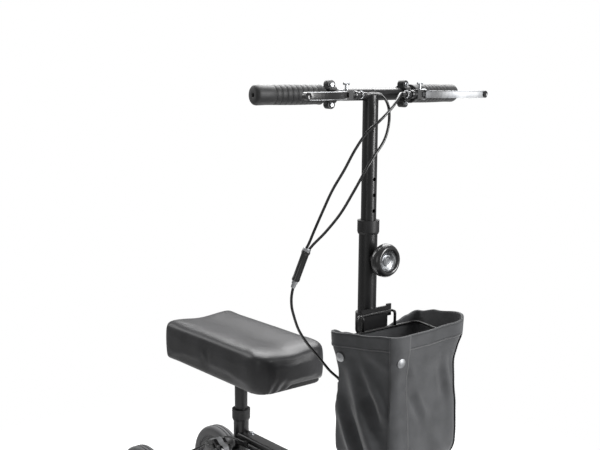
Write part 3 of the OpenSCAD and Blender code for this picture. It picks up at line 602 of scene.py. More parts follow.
class SCOOTER_OT_knee_pad(bpy.types.Operator):
    """The padded knee rest in its stretched cover, with the cover's turned edge and staples"""

    bl_idname = "scooter.knee_pad"
    bl_label = "Knee pad"

    # Radii of the pad's corners seen from above, from the back right one, forwards first
    CORNERS = (17, 34, 34, 17)

    def execute(self, context):
        low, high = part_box("knee_pad")
        board_low, board_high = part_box("seat_board")
        # The cover is drawn down over the board's edges and turned under it
        over = Vector((6, 6, 0)) * MM
        low.xy, high.xy = (board_low - over).xy, (board_high + over).xy
        middle = (low + high) / 2
        half = (high - low) / 2
        bottom = board_low.z - 0.6 * MM
        top = high.z + 1.5 * MM
        bm = slab(middle, half, bottom, top, self.CORNERS, 10)
        rims = {level: [e for e in bm.edges if all(abs(v.co.z - level) < 1e-6 for v in e.verts)]
                for level in (top, bottom)}
        for level, radius in ((top, 15 * MM), (bottom, 2.5 * MM)):
            soften(bm, rims[level], radius, 6)
        bmesh.ops.recalc_face_normals(bm, faces=bm.faces[:])
        pad = piece("pad_cover", bm, "leather")
        remesh = pad.modifiers.new("remesh", "REMESH")
        remesh.mode = "VOXEL"
        remesh.voxel_size = 5 * MM
        fine = bpy.data.meshes.new_from_object(
            pad.evaluated_get(bpy.context.evaluated_depsgraph_get()))
        pad.modifiers.remove(remesh)
        old = pad.data
        pad.data = fine
        bpy.data.meshes.remove(old)
        puff(pad, 20, settings().pad_swell)
        self.relax(pad, 3)
        for vert in pad.data.vertices:
            vert.co = self.shaped(vert.co, middle, half, bottom, top)
            vert.co.x = clamped(vert.co.x, low.x - 2 * MM, high.x + 2 * MM)
            vert.co.y = clamped(vert.co.y, low.y - 2 * MM, high.y + 2 * MM)
            vert.co.z = clamped(vert.co.z, bottom, high.z + 3 * MM)
        subdivide = pad.modifiers.new("smooth", "SUBSURF")
        subdivide.levels = subdivide.render_levels = 1
        pad.data.shade_smooth()
        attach(pad, "knee_rest")
        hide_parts("knee_pad")
        self.board(board_low, board_high)
        self.turned_edge(board_low, board_high)
        return {"FINISHED"}

    def board(self, low, high):
        """The black plywood board under the foam, cut to the pad's rounded corners."""
        bm = slab((low + high) / 2, (high - low) / 2, low.z, high.z, self.CORNERS, 8)
        level = [e for e in bm.edges if abs(e.verts[0].co.z - e.verts[1].co.z) < 1e-6]
        soften(bm, level, 1 * MM, 2)
        bmesh.ops.recalc_face_normals(bm, faces=bm.faces[:])
        auto_smooth(piece("pad_board", bm, "nylon", "knee_rest", ["seat_board"]))

    def relax(self, pad, rounds):
        """Evens out the skin's smallest ripples."""
        bm = bmesh.new()
        bm.from_mesh(pad.data)
        for _ in range(rounds):
            bmesh.ops.smooth_vert(bm, verts=bm.verts[:], factor=0.5, use_axis_x=True, use_axis_y=True,
                                  use_axis_z=True)
        bm.to_mesh(pad.data)
        bm.free()

    def shaped(self, co, middle, half, bottom, top):
        """Where a point of the swollen pad goes: hollow along its top, fuller sides, drawn-in folds."""
        co = co.copy()
        along, across = (co.x - middle.x) / half.x, (co.y - middle.y) / half.y
        lift = clamped((co.z - bottom) / (top - bottom), 0, 1)
        co.z -= settings().pad_trough * math.exp(-(across / 0.45) ** 2) * lift ** 4
        # The front of the foam is worn rounder than the back
        co.z -= 7 * MM * clamped((along - 0.66) / 0.34, 0, 1) ** 2 * lift ** 1.5
        # The sides lean out a little halfway down and pull in to the board
        bulge = 1.6 * MM * math.sin(math.pi * clamped(lift, 0, 1))
        co.y += bulge * clamped(across * 3, -1, 1)
        co.x += bulge * clamped(along * 3, -1, 1)
        # Two folds at the right front corner, and the cover's front edge stands off the board on the left
        front = clamped((along - 0.86) / 0.1, 0, 1)
        for fold, spread_y in ((-0.42, 0.07), (-0.66, 0.05)):
            slant = fold + 0.5 * lift
            co.x -= 4.5 * MM * front * math.exp(-((across - slant) / spread_y) ** 2) * clamped(
                1 - lift / 0.5, 0, 1)
        raised = clamped((across + 0.28) / 0.2, 0, 1) * clamped((0.97 - across) / 0.1, 0, 1)
        co.z += 9 * MM * front * raised * clamped(1 - lift * 3.2, 0, 1)
        return co

    def turned_edge(self, low, high):
        """The cover's edge, turned under the board and stapled."""
        size = high - low
        middle = (low + high) / 2
        under = low.z - 0.45 * MM
        bm = bmesh.new()
        for side in (-1, 1):
            beside = Matrix.Translation((middle.x, side * (size.y / 2 - 15 * MM), under))
            across = Matrix.Translation((middle.x + side * (size.x / 2 - 15 * MM), 0, under))
            block(bm, (size.x - 44 * MM, 18 * MM, 0.9 * MM), beside, 0.3 * MM)
            block(bm, (18 * MM, size.y - 48 * MM, 0.9 * MM), across, 0.3 * MM)
        piece("pad_turned_edge", bm, "leather", "knee_rest")
        bm = bmesh.new()
        for side in (-1, 1):
            for k in range(9):
                place = (middle.x + (k - 4) * 36 * MM, side * (size.y / 2 - 18 * MM), low.z - 1.1 * MM)
                block(bm, (10 * MM, 0.8 * MM, 0.7 * MM), Matrix.Translation(place), 0.2 * MM)
        piece("pad_staples", bm, "zinc", "knee_rest")

# ---- bag ----

def eased(keys, where):
    """The value at a place between keys of (place, value), eased in and out of each."""
    for (a, low), (b, high) in zip(keys, keys[1:]):
        if where <= b:
            t = (where - a) / (b - a)
            return low + (high - low) * t * t * (3 - 2 * t)
    return keys[-1][1]


class Bag:
    """The bag's shape: a point for each distance round its rim and depth below it."""

    # Radii of the upright edges, from the back right one, forwards first
    CORNERS = (5, 20, 22, 9)
    # Height of the rim above its solid's top at shares round it: the hanger lets the back sag
    RIM = ((0, -4), (0.10, 0), (0.205, 7), (0.33, 8), (0.43, 13), (0.50, 21), (0.59, 14), (0.67, 3),
           (0.71, -4), (0.76, -12), (0.82, -23), (0.90, -22), (0.965, -12), (1, -4))

    # How far the cloth hangs in from the rim at each share of the way down, in millimetres
    DRAPE = ((0, -1), (0.10, 0), (0.20, 3.5), (0.32, 6), (0.45, 5), (0.62, 1.5), (0.8, 0), (0.92, 0.5), (1, 3))
    # Where the rim flares past its wire: share round it, width and distance in millimetres
    FLARES = ((0.0, 0.06, 6), (0.49, 0.08, 8))
    # How much of the flare is left at each share of the way down
    FLARE_FADE = ((0, 1), (0.09, 1), (0.30, 0), (1, 0))
    # Creases: share round the rim and share of the way down where each starts and ends, height, width
    CREASES = ((0.050, 0.20, 0.190, 1.02, 15.0, 0.026), (0.095, 0.16, 0.195, 0.60, 8.0, 0.018),
               (0.015, 0.50, 0.120, 1.05, 12.0, 0.020), (0.115, 0.13, 0.195, 0.22, 4.5, 0.012),
               (0.115, 0.42, 0.165, 0.68, -12.0, 0.018), (0.040, 0.52, 0.130, 1.00, -12.0, 0.016),
               (0.275, 0.42, 0.325, 0.66, -4.0, 0.012), (0.300, 0.40, 0.345, 0.62, 3.0, 0.010),
               (0.415, 0.20, 0.445, 0.52, 4.0, 0.012), (0.265, 0.18, 0.30, 0.34, 2.6, 0.012),
               (0.330, 0.66, 0.43, 0.96, 3.5, 0.020), (0.395, 0.28, 0.43, 0.60, -3.0, 0.012),
               (0.54, 0.3, 0.62, 0.9, 6.0, 0.02), (0.60, 0.2, 0.65, 0.7, -4.0, 0.016),
               (0.74, 0.3, 0.82, 0.8, 5.0, 0.03), (0.88, 0.2, 0.94, 0.9, 5.0, 0.02))

    def __init__(self):
        low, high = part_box("bag")
        self.low, self.high = low, high
        self.back, self.front = low.x, high.x
        self.height = high.z - low.z
        self.half_back = (high.y - low.y) / 2
        # The bag is cut 206 mm wide at the back and 164 mm at the front
        self.half_front = self.half_back * 82 / 103
        self.outline = self.make_outline(240)

    def make_outline(self, count):
        """Evenly spaced points round the rim, from the back right corner, forwards first."""
        corners = [(self.back, -self.half_back), (self.front, -self.half_front),
                   (self.front, self.half_front), (self.back, self.half_back)]
        path = rounded_path([(x, y, 0) for x, y in corners], [r * MM for r in self.CORNERS], steps=10)
        path.append(path[0])
        lengths = [0]
        for a, b in zip(path, path[1:]):
            lengths.append(lengths[-1] + (b - a).length)
        self.round = lengths[-1]
        out = []
        k = 0
        for i in range(count):
            want = self.round * i / count
            while lengths[k + 1] < want:
                k += 1
            t = (want - lengths[k]) / (lengths[k + 1] - lengths[k])
            out.append(path[k].lerp(path[k + 1], t))
        return out

    def hang(self, depth):
        """How far in the cloth hangs at a share of the way down."""
        return eased(self.DRAPE, depth) * MM

    def crease(self, share, depth):
        """How far a crease stands out at a place on the cloth."""
        total = 0
        for s0, d0, s1, d1, height, width in self.CREASES:
            ds, dd = s1 - s0, (d1 - d0) * 0.36
            ps, pd = share - s0, (depth - d0) * 0.36
            t = clamped((ps * ds + pd * dd) / (ds * ds + dd * dd), 0, 1)
            far = math.hypot(ps - t * ds, pd - t * dd)
            ends = math.sin(math.pi * clamped(t, 0.02, 0.98)) ** 0.5
            total += height * ends * math.exp(-(far / width) ** 2)
        return total * MM

    def rim(self, share):
        """Height of the rim at a share of the way round."""
        return self.high.z + eased(self.RIM, share) * MM

    def at(self, share, depth, out=0.0):
        """The point at a share round the rim and a share of the way down, pushed out by some metres."""
        share %= 1
        i = share * len(self.outline)
        k = int(i)
        a, b = self.outline[k % len(self.outline)], self.outline[(k + 1) % len(self.outline)]
        flat = a.lerp(b, i - k)
        before = self.outline[(k - 2) % len(self.outline)]
        after = self.outline[(k + 3) % len(self.outline)]
        along = (after - before).normalized()
        normal = Vector((along.y, -along.x, 0))
        top = self.rim(share)
        z = top - depth * (top - self.low.z - 1 * MM)
        # Only the sides crease freely: at the rim the wire holds the cloth out
        free = clamped((depth - 0.08) / 0.2, 0, 1)
        move = out - self.hang(depth) + self.crease(share, depth) * free
        for place, width, reach in self.FLARES:
            apart = min(abs(share - place), 1 - abs(share - place))
            move += reach * MM * math.exp(-(apart / width) ** 2) * eased(self.FLARE_FADE, depth)
        ripple = math.sin(share * 37 + depth * 5) * 0.8 * MM * free
        turn = clamped((depth - 0.86) / 0.14, 0, 1)
        centre = Vector(((self.back + self.front) / 2, 0, 0))
        point = flat + normal * (move + ripple)
        point = point.lerp(centre, 0.20 * turn ** 2.2)
        return Vector((point.x, point.y, z))


def sheet_of(bag, shares, depths, out, wrap=False):
    """A grid of cloth over part of the bag's sides."""
    bm = bmesh.new()
    uv = bm.loops.layers.uv.new("cloth")
    made = bmesh.ops.create_grid(bm, x_segments=len(shares) - 1, y_segments=len(depths) - 1, size=1)["verts"]
    index = {}
    for vert in made:
        i = round((vert.co.x + 1) / 2 * (len(shares) - 1))
        j = round((vert.co.y + 1) / 2 * (len(depths) - 1))
        index[vert] = (i, j)
        vert.co = bag.at(shares[i], depths[j], out)
    for face in bm.faces:
        for loop in face.loops:
            i, j = index[loop.vert]
            loop[uv].uv = (shares[i] * bag.round, depths[j] * bag.height)
    if wrap:
        bmesh.ops.remove_doubles(bm, verts=bm.verts[:], dist=1e-5)
    bm.normal_update()
    centre = Vector(((bag.back + bag.front) / 2, 0, 0))
    out_faces = sum(1 if f.normal.dot(f.calc_center_median() - centre) > 0 else -1 for f in bm.faces)
    if out_faces < 0:
        bmesh.ops.reverse_faces(bm, faces=bm.faces[:])
    return bm


def spread(start, end, count):
    """Evenly spaced values from start to end."""
    return [start + (end - start) * i / (count - 1) for i in range(count)]


class SCOOTER_OT_bag(bpy.types.Operator):
    """The canvas bag: sides that sag from a wire rim, hem, edge bands, stitching and press studs"""

    bl_idname = "scooter.bag"
    bl_label = "Bag"

    # Middles of the edge bands and places of the studs, as shares round the rim
    BANDS = (0.232, 0.500, 0.700)
    STUDS = (0.030, 0.236, 0.494, 0.700)
    # Half a band's width as a share of the way round, and how far down the studs sit
    BAND_HALF, STUD_DEPTH = 0.033, 0.185

    def execute(self, context):
        bag = Bag()
        shares = spread(0, 1, 201)
        bm = sheet_of(bag, shares, spread(0, 1, 70), 0.0, wrap=True)
        edge = [e for e in bm.edges if e.is_boundary and e.verts[0].co.z < bag.low.z + 8 * MM]
        made = bmesh.ops.contextual_create(bm, geom=edge)["faces"]
        bmesh.ops.inset_region(bm, faces=made, thickness=12 * MM, depth=0)
        bmesh.ops.triangulate(bm, faces=made)
        bmesh.ops.recalc_face_normals(bm, faces=bm.faces[:])
        cloth = piece("bag_cloth", bm, "canvas", "column", ["bag"])
        self.thicken(cloth, 1.4 * MM, -1)
        # The wall and the base are cut in one piece: the base hangs on the wall's lower edge
        hem = piece("bag_hem", sheet_of(bag, shares, spread(0, 0.105, 9), 1.0 * MM, wrap=True),
                    "canvas", "column")
        self.thicken(hem, 1.2 * MM, 1)
        bands = []
        for k, middle in enumerate(self.BANDS):
            across = spread(middle - self.BAND_HALF, middle + self.BAND_HALF, 14)
            bm = sheet_of(bag, across, spread(0.0, 0.985, 60), 1.7 * MM)
            bands.append(piece(f"bag_band_{k + 1}", bm, "canvas", "column"))
            self.thicken(bands[-1], 0.9 * MM, 1)
        thread = self.stitching(bag)
        self.studs(bag)
        return {"FINISHED"}

    def thicken(self, obj, thickness, offset):
        """Gives a sheet its thickness."""
        wall = obj.modifiers.new("thickness", "SOLIDIFY")
        wall.thickness = thickness
        wall.offset = offset

    def stitching(self, bag):
        """Rows of stitches along the hem and the bands' edges."""
        bm = bmesh.new()
        length, gap_share = 3.2 * MM, 5.0 * MM / bag.round
        for row in (0.092, 0.012):
            share = 0
            while share < 1:
                self.stitch(bm, bag, share, row, True, length, 2.3 * MM)
                share += gap_share
        for middle in self.BANDS:
            for side in (-1, 1):
                depth = 0.11
                while depth < 0.94:
                    self.stitch(bm, bag, middle + side * 0.029, depth, False, length, 2.5 * MM)
                    depth += 5.0 * MM / bag.height
        return piece("bag_stitching", bm, "sheath", "column")

    def stitch(self, bm, bag, share, depth, level, length, out):
        """One thread between two holes, with a few faces only."""
        a = bag.at(share, depth, out)
        along, down = (length / bag.round, 0) if level else (0, length / bag.height)
        b = bag.at(share + along, depth + down, out)
        made = bmesh.ops.create_cone(bm, segments=5, radius1=0.35 * MM, radius2=0.35 * MM,
                                     depth=(b - a).length, cap_ends=True)["verts"]
        bmesh.ops.transform(bm, matrix=heading((a + b) / 2, b - a), verts=made)

    def studs(self, bag):
        """Domed press studs a little below the rim."""
        bm = bmesh.new()
        profile = [(0, 3.4), (2.5, 3.2), (5, 2.6), (6.8, 1.8), (7.4, 1.2), (8.2, 1.0), (8.6, 0.4),
                   (8.4, 0), (0, 0)]
        for share in self.STUDS:
            depth = self.STUD_DEPTH
            here = bag.at(share, depth, 2.4 * MM)
            normal = (bag.at(share + 0.01, depth) - bag.at(share - 0.01, depth)).cross(
                bag.at(share, depth + 0.02) - bag.at(share, depth - 0.02)).normalized()
            centre = Vector(((bag.back + bag.front) / 2, 0, here.z))
            if normal.dot(here - centre) < 0:
                normal = -normal
            lathe(bm, profile, heading(here, normal), 32)
        obj = piece("bag_press_studs", bm, "silver", "column", ["bag_snaps"])
        auto_smooth(obj, 50)


class SCOOTER_OT_basket_wire(bpy.types.Operator):
    """The wire rim and the hanger that the bag hooks on with"""

    bl_idname = "scooter.basket_wire"
    bl_label = "Basket wire"

    def execute(self, context):
        low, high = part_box("basket_frame")
        bag = Bag()
        radius = settings().wire_radius
        inset = 5.4 * MM
        rim_z = bag.high.z - 17 * MM
        corners = [(bag.back + inset, -bag.half_back + inset), (bag.front - inset, -bag.half_front + inset),
                   (bag.front - inset, bag.half_front - inset), (bag.back + inset, bag.half_back - inset)]
        rim = tube_mesh("rim", rounded_path([(x, y, rim_z) for x, y in corners], 12 * MM), radius, closed=True)
        piece("basket_rim_wire", rim, "tube", "column", ["basket_frame"])
        back = low.x + radius
        front = bag.back + inset
        over, under = high.z - radius, high.z - 32 * MM
        wide = 48 * MM
        loop = [(back, -wide, under), (back, wide, under), (back, wide, over), (back, -wide, over)]
        piece("basket_hanger_loop", tube_mesh("loop", rounded_path(loop, 9 * MM), radius, closed=True),
              "tube", "column")
        for name, y in (("left", 40 * MM), ("right", -40 * MM)):
            hook = rounded_path([(back, y, over), (front, y, over), (front, y, rim_z)], 4 * MM, closed=False)
            piece(f"basket_hook_{name}", tube_mesh("hook", hook, radius), "tube", "column")
        return {"FINISHED"}


# ---- handlebar ----

def along_bar(side, distance, up=0.0, ahead=0.0):
    """A point beside the swept handlebar: side is 1 on the left, distance runs out from the middle, in mm."""
    sweep = math.radians(BAR_SWEEP)
    out = Vector((-math.sin(sweep), side * math.cos(sweep), 0))
    fore = Vector((math.cos(sweep), side * math.sin(sweep), 0))
    return Vector((COLUMN_X, 0, BAR_Z)) + (out * distance + fore * ahead + Z_AXIS * up) * MM


def bar_direction(side):
    """The direction along the bar, outwards."""
    return (along_bar(side, 1) - along_bar(side, 0)).normalized()


class SCOOTER_OT_grips(bpy.types.Operator):
    """Ribbed rubber grips with flanged ends"""

    bl_idname = "scooter.grips"
    bl_label = "Grips"

    # Where a grip starts along the bar, and the number and spacing of its ribs, in millimetres
    START, RIBS, PITCH = 109.3, 9, 10.4

    def execute(self, context):
        # The bar's length along its sweep, from the far corner of its box
        sweep = math.radians(BAR_SWEEP)
        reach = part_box("handlebar")[1].y / MM
        start, end = self.START, (reach - BAR_R * math.sin(sweep)) / math.cos(sweep) + 2
        profile = [(11.0, start), (16.4, start), (17.2, start + 0.9), (17.2, start + 3.6), (16.6, start + 4.6)]
        for k in range(self.RIBS):
            here = start + 12 + k * self.PITCH
            body = 16.4 + 0.7 * math.sin(math.pi * (self.RIBS - k) / (self.RIBS + 1))
            profile += [(body, here), (body - 0.2, here + 0.4), (body - 0.6, here + 0.9),
                        (body - 0.6, here + 1.5), (body - 0.2, here + 2.0), (body, here + 2.4)]
        profile += [(16.5, end - 24), (16.9, end - 12), (17.0, end - 6.5), (16.2, end - 3.2), (14.4, end - 1.1),
                    (12.0, end), (4.2, end - 0.6), (3.4, end - 1.4), (3.2, end - 6), (0, end - 6)]
        for name, side in (("left", 1), ("right", -1)):
            turned_piece(f"grip_{name}", profile, heading(along_bar(side, 0), bar_direction(side)), "rubber",
                         "handlebar", ["grips"] if side == 1 else (), 64)
        return {"FINISHED"}


class SCOOTER_OT_levers(bpy.types.Operator):
    """Pressed lever blades, and the screws and adjusters of the clamps"""

    bl_idname = "scooter.levers"
    bl_label = "Brake levers"

    # From the column's axis in millimetres: the lever's pivot ahead and out, its clamp and its cable's adjuster
    AHEAD, PIVOT_OUT, CLAMP_OUT, ADJUSTER_OUT = 34, 100, 90, 62
    TIP_R = 6.5

    def pivot(self, side):
        """Where a lever turns."""
        return local(self.AHEAD, side * self.PIVOT_OUT, BAR_Z / MM)

    def edges(self, tip):
        """The blade's front and back edges from the pivot to its tip, in millimetres."""
        front = ((11, -5), (17, 3), (31, 17.5), (43.2, 41.5), (49.2, 70), (50.2, tip - 14), (49, tip - 4))
        back = ((39.2, tip - 4), (39.2, tip - 14), (38.2, 72), (32, 47.5), (21, 27.5), (10, 15), (1, 8))
        return [smooth_path([(x, y, 0) for x, y in edge], 4) for edge in (front, back)]

    def execute(self, context):
        for name, side in (("left", 1), ("right", -1)):
            self.blade(name, side)
            self.clamp_screws(name, side)
            self.adjuster(name, side)
        return {"FINISHED"}

    def blade(self, name, side):
        """A lever: a web between two bright flanges; the web is bare metal on the left, and on the right painted
        black as the shade in the lever's channel.
        """
        low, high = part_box(f"brake_lever_{name}")
        pivot = self.pivot(side)
        body, slot = f"{name}_lever", "black_plastic"
        end = (high.y if side == 1 else -low.y) / MM - self.PIVOT_OUT - self.TIP_R
        outline, inner = self.edges(end)
        # The right web's black is painted shade in its channel; the left web is the lever's own bare metal
        web_metal_or_painted_shade = "silver" if side == 1 else "abs"
        for part, z, thick, inset, hollow in (("flange_top", 5.6, 0.9, 0, 0), ("flange_low", -6.5, 0.9, 0, 0),
                                              ("web", -5.6, 11.2, 1.8, 3.2)):
            bm = bmesh.new()
            front = [p - Vector((inset, 0, 0)) for p in outline]
            back = [p + Vector((hollow, 0, 0)) for p in inner]
            verts = [bm.verts.new(Vector((p.x, side * p.y, z)) * MM) for p in front + back]
            raise_faces(bm, [bm.faces.new(verts)], thick * MM)
            soften(bm, bm.edges[:], 0.25 * MM, 2)
            bmesh.ops.transform(bm, matrix=Matrix.Translation(pivot), verts=bm.verts[:])
            bmesh.ops.recalc_face_normals(bm, faces=bm.faces[:])
            obj = piece(f"lever_{name}_{part}", bm, web_metal_or_painted_shade if part == "web" else "silver", body,
                        [f"brake_lever_{name}"] if part == "web" else ())
            auto_smooth(obj)
        tip = pivot + Vector((44.4, side * (end - 2), 0)) * MM
        joint = pivot + Vector((8.6, side * 9, 0)) * MM
        disc = [(0, -4.4), (3.2, -4.6), (5.6, -5.8), (6.5, -4.6), (6.6, 0), (6.5, 4.6), (5.6, 5.8), (3.2, 4.6),
                (0, 4.4)]
        hub = [(3.2, -4.0), (7.4, -4.0), (7.6, -3.4), (7.6, 3.4), (7.4, 4.0), (3.2, 4.0)]
        nipple = [(0, -3.9), (3.6, -3.9), (4.1, -3.4), (4.1, 3.4), (3.6, 3.9), (0, 3.9)]
        for part, profile, place, finish_name, steps in (
                ("tip", disc, heading(tip, Vector((1, side * 0.05, 0))), "abs", 36),
                ("hub", hub, heading(pivot, Z_AXIS), "silver", 36),
                ("cable_nipple", nipple, heading(joint, Z_AXIS), "silver", 28)):
            turned_piece(f"lever_{name}_{part}", profile, place, finish_name, body, steps=steps)

    def clamp_screws(self, name, side):
        """The clamp's lobes with their socket screws, and the rivet of the lever's pivot."""
        boss = [(0, -15), (6.6, -15), (7.6, -14), (7.8, -1.0), (7.4, 0), (5.6, 0.2), (5.4, -0.6), (0, -0.6)]
        screw = [(0, 0.6), (1.7, 0.6), (1.8, 1.9), (3.4, 2.1), (4.3, 1.6), (4.5, 0.8), (4.5, -0.6), (0, -0.6)]
        rivet = [(0, 9.6), (3.0, 9.5), (4.2, 8.9), (4.8, 8.2), (4.8, 8.0), (0, 8.0)]
        lobes, screws = bmesh.new(), bmesh.new()
        for z in (-17, 17):
            face = along_bar(side, self.CLAMP_OUT, z, 7)
            place = heading(face, along_bar(side, self.CLAMP_OUT, z, 8) - face)
            lathe(lobes, boss, place, 32)
            lathe(screws, screw, place, 28)
        for along in (Z_AXIS, -Z_AXIS):
            lathe(screws, rivet, heading(self.pivot(side), along), 28)
        auto_smooth(piece(f"clamp_lobes_{name}", lobes, "nylon", "handlebar"))
        auto_smooth(piece(f"clamp_screws_{name}", screws, "zinc", "handlebar"))

    def adjuster(self, name, side):
        """The barrel that takes up slack in the cable, with its knurled lock ring."""
        start = local(self.AHEAD, side * self.ADJUSTER_OUT, BAR_Z / MM)
        inward = Vector((0, -side, 0))
        profile = [(2.6, -10), (6.9, -10), (7.2, -9.4), (7.2, -4.6), (6.9, -4), (5.2, -3.8), (5.2, 4), (6.2, 4.4),
                   (6.4, 5), (6.4, 9), (6.0, 9.6), (4.6, 10), (4.4, 19), (3.4, 20), (2.6, 20)]
        turned_piece(f"cable_adjuster_{name}", profile, heading(start, inward), "abs", "handlebar",
                     steps=40)
        bm = bmesh.new()
        for k in range(18):
            turn = math.tau * k / 18
            spot = Matrix.Rotation(turn, 4, "Z") @ Matrix.Translation((6.4 * MM, 0, 7 * MM))
            block(bm, (1.2 * MM, 1.0 * MM, 4 * MM), heading(start, inward) @ spot, 0.25 * MM)
        piece(f"cable_lock_ring_{name}", bm, "zinc", "handlebar")


# ---- cables ----

# The cables' routes from the column's axis, in millimetres: from the right and the left lever to the
# junction, from there to the column, down the column, and along the beam to the drum
NEAR = ((34, -44, 1025), (37, -30, 1027), (41, -12, 1024), (43, 2, 1005), (41, 6, 975), (40, -4, 945),
        (38, -26, 918), (34, -45, 890), (25, -61, 857), (11, -78, 819), (-8, -95, 786), (-24, -108, 764),
        (-31, -115, 752))
FAR = ((34, 44, 1025), (40, 34, 1026), (49, 18, 1016), (52, 0, 1001), (49, -22, 982), (39, -46, 959),
       (32, -66, 930), (24, -82, 897), (12, -98, 862), (0, -108, 827), (-14, -116, 790), (-26, -119, 764),
       (-33, -122, 752))
LOWER = ((-48, -134, 689), (-51, -136, 672), (-52, -136, 655), (-51, -133, 637), (-50, -121, 605),
         (-47, -104, 578), (-44, -86, 556), (-41, -70, 536), (-37, -55, 517), (-32, -42, 504), (-30, -36, 496),
         (-30, -36, 492))
ON_COLUMN = ((-30, -36, 493), (-30, -36, 478), (-28, -36, 455), (-22, -36, 425), (-12, -36, 395),
             (-4, -36, 370), (0, -36, 355), (0, -36, 344))
ON_FRAME = ((0, -36, 346), (0, -37, 336), (-4, -38, 326), (-16, -38, 309), (-34, -33, 293), (-54, -25, 281),
            (-76, -20, 273), (-100, -19, 270), (-150, -19, 268), (-200, -19, 268), (-250, -19, 268),
            (-300, -19, 268), (-350, -19, 268), (-375, -20, 268), (-396, -21, 267), (-417, -22, 263),
            (-440, -24, 254), (-480, -28, 232), (-520, -34, 207), (-555, -44, 186), (-580, -56, 174),
            (-598, -68, 168), (-606, -73, 166))


class SCOOTER_OT_cables(bpy.types.Operator):
    """Brake cables, the junction where two pull one, and its ferrules"""

    bl_idname = "scooter.cables"
    bl_label = "Brake cables"

    def execute(self, context):
        for name, route in (("brake_cable_right", NEAR), ("brake_cable_left", FAR)):
            self.declare(self.run(name, route, "handlebar", ["brake_cables"]), route)
        lower = self.run("brake_cable_lower", LOWER, None)
        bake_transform(lower)
        self.declare(lower, LOWER)
        self.run("brake_cable_column", ON_COLUMN, "column", ["column_cable"])
        rear = self.run("brake_cable_rear", ON_FRAME, None, ["frame_cable"])
        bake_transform(rear)
        self.junction()
        return {"FINISHED"}

    def run(self, name, route, body, replaces=()):
        """One stretch of cable along its route."""
        bm = tube_mesh(name, smooth_path([local(*p) for p in route]), settings().cable_radius)
        return piece(name, bm, "sheath", body, replaces)

    def declare(self, cable, route):
        """Does nothing; both ends of the stretch of cable go into the scooter."""

    def junction(self):
        """A black barrel with a bright cap above and a bright adjuster below."""
        top, end = local(-32, -118.5, 752), local(-48, -134, 689)
        along = (end - top).normalized()
        length = (end - top).length / MM
        turned_piece("cable_junction", [(2.4, 1.0), (7.4, 1.0), (7.9, 1.8), (7.9, 5.5), (7.3, 6.4), (6.9, 9),
                                        (6.9, length - 15), (7.2, length - 14), (7.2, length - 9),
                                        (6.4, length - 8), (2.4, length - 8)],
                     heading(top, along), "abs", "handlebar", ["cable_merger"])
        cap = [(2.6, -4.2), (6.6, -4.2), (7.3, -3.4), (7.3, 0.8), (6.9, 1.2), (2.6, 1.2)]
        turned_piece("cable_junction_cap", cap, heading(top, along), "silver", "handlebar")
        screw = [(2.6, -8.2), (5.2, -8.2), (5.4, -7.6), (5.4, -3), (4.4, -2.4), (4.2, 4.6), (3.2, 5.6),
                 (2.6, 5.6)]
        turned_piece("cable_junction_adjuster", screw, heading(end, along), "silver", "handlebar")

# ---- knobs ----

class SCOOTER_OT_knobs(bpy.types.Operator):
    """The column's round knob with its spun disc, and the lobed clamp knob of the knee rest"""

    bl_idname = "scooter.knobs"
    bl_label = "Knobs"

    def execute(self, context):
        self.column_knob()
        self.seat_knob()
        return {"FINISHED"}

    def column_knob(self):
        """A bevelled rim round a dished metal disc."""
        low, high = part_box("column_knob")
        centre = Vector((0, (low.y + high.y) / 2, (low.z + high.z) / 2))
        face = high.x / MM
        rim = [(5.2, -45), (5.2, -26.5), (13, -26.3), (16, -21.6), (24.6, -20.8), (28.4, -18.6), (30, -15.4),
               (30, -8.0), (29.2, -5.6), (26.6, -1.6), (24.8, -0.2), (22.6, 0), (20.6, -0.8), (19.4, -2.4),
               (19.2, -5)]
        place = heading(centre + Vector((face * MM, 0, 0)), Vector((1, 0, 0)))
        turned_piece("column_knob_rim", rim, place, "abs", "column_knob", ["column_knob"], 64)
        disc = [(19.4, -4.2), (18.6, -3.6), (17.4, -4.6), (10.4, -8.4), (9.6, -8.2), (9.2, -6.6), (8.2, -6.0),
                (7.2, -6.2), (6.6, -7.2), (0, -7.4)]
        obj = turned_piece("column_knob_disc", disc, place, "zinc", "column_knob", (), 64)
        obj.data.materials[0] = spun_steel(centre + Vector((face * MM, 0, 0)))

    def seat_knob(self):
        """Eight lobes on a black body, with a pale grey ring painted on as the highlight that the lobes' rim
        catches.
        """
        low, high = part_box("seat_knob")
        centre = Vector(((low.x + high.x) / 2, 0, (low.z + high.z) / 2))
        base = heading(Vector((centre.x, low.y + 36 * MM, centre.z)), Vector((0, -1, 0)))
        # The rim's pale grey is a painted highlight where the lobes' edges catch the light
        for name, start, depth, grow, finish_name in (("body", 2, 30, -1.2, "abs"), ("rim", 10, 14, 0, "grey"),
                                                      ("cap", 30, 5.4, -9, "abs")):
            bm = bmesh.new()
            ring = bmesh.ops.create_circle(bm, cap_ends=True, segments=96, radius=1)["verts"]
            for vert in ring:
                angle = math.atan2(vert.co.y, vert.co.x)
                reach = 38.2 + grow + 2.7 * math.cos(8 * angle)
                vert.co = Vector((math.cos(angle) * reach, math.sin(angle) * reach, 0)) * MM
            raise_faces(bm, bm.faces[:], depth * MM)
            rims = [e for e in bm.edges if len({round(v.co.z / MM, 2) for v in e.verts}) == 1]
            soften(bm, rims, 2.2 * MM, 4)
            bmesh.ops.transform(bm, matrix=base @ Matrix.Translation((0, 0, start * MM)), verts=bm.verts[:])
            bmesh.ops.recalc_face_normals(bm, faces=bm.faces[:])
            obj = piece(f"seat_knob_{name}", bm, finish_name, "seat_knob",
                        ["seat_knob"] if name == "body" else ())
            auto_smooth(obj)
        turned_piece("seat_knob_stem", [(5, -28), (5, -9.6), (13.4, -9.4), (14, -8.6), (14, 2.6)], base, "zinc",
                     "seat_knob")


# ---- wheels ----

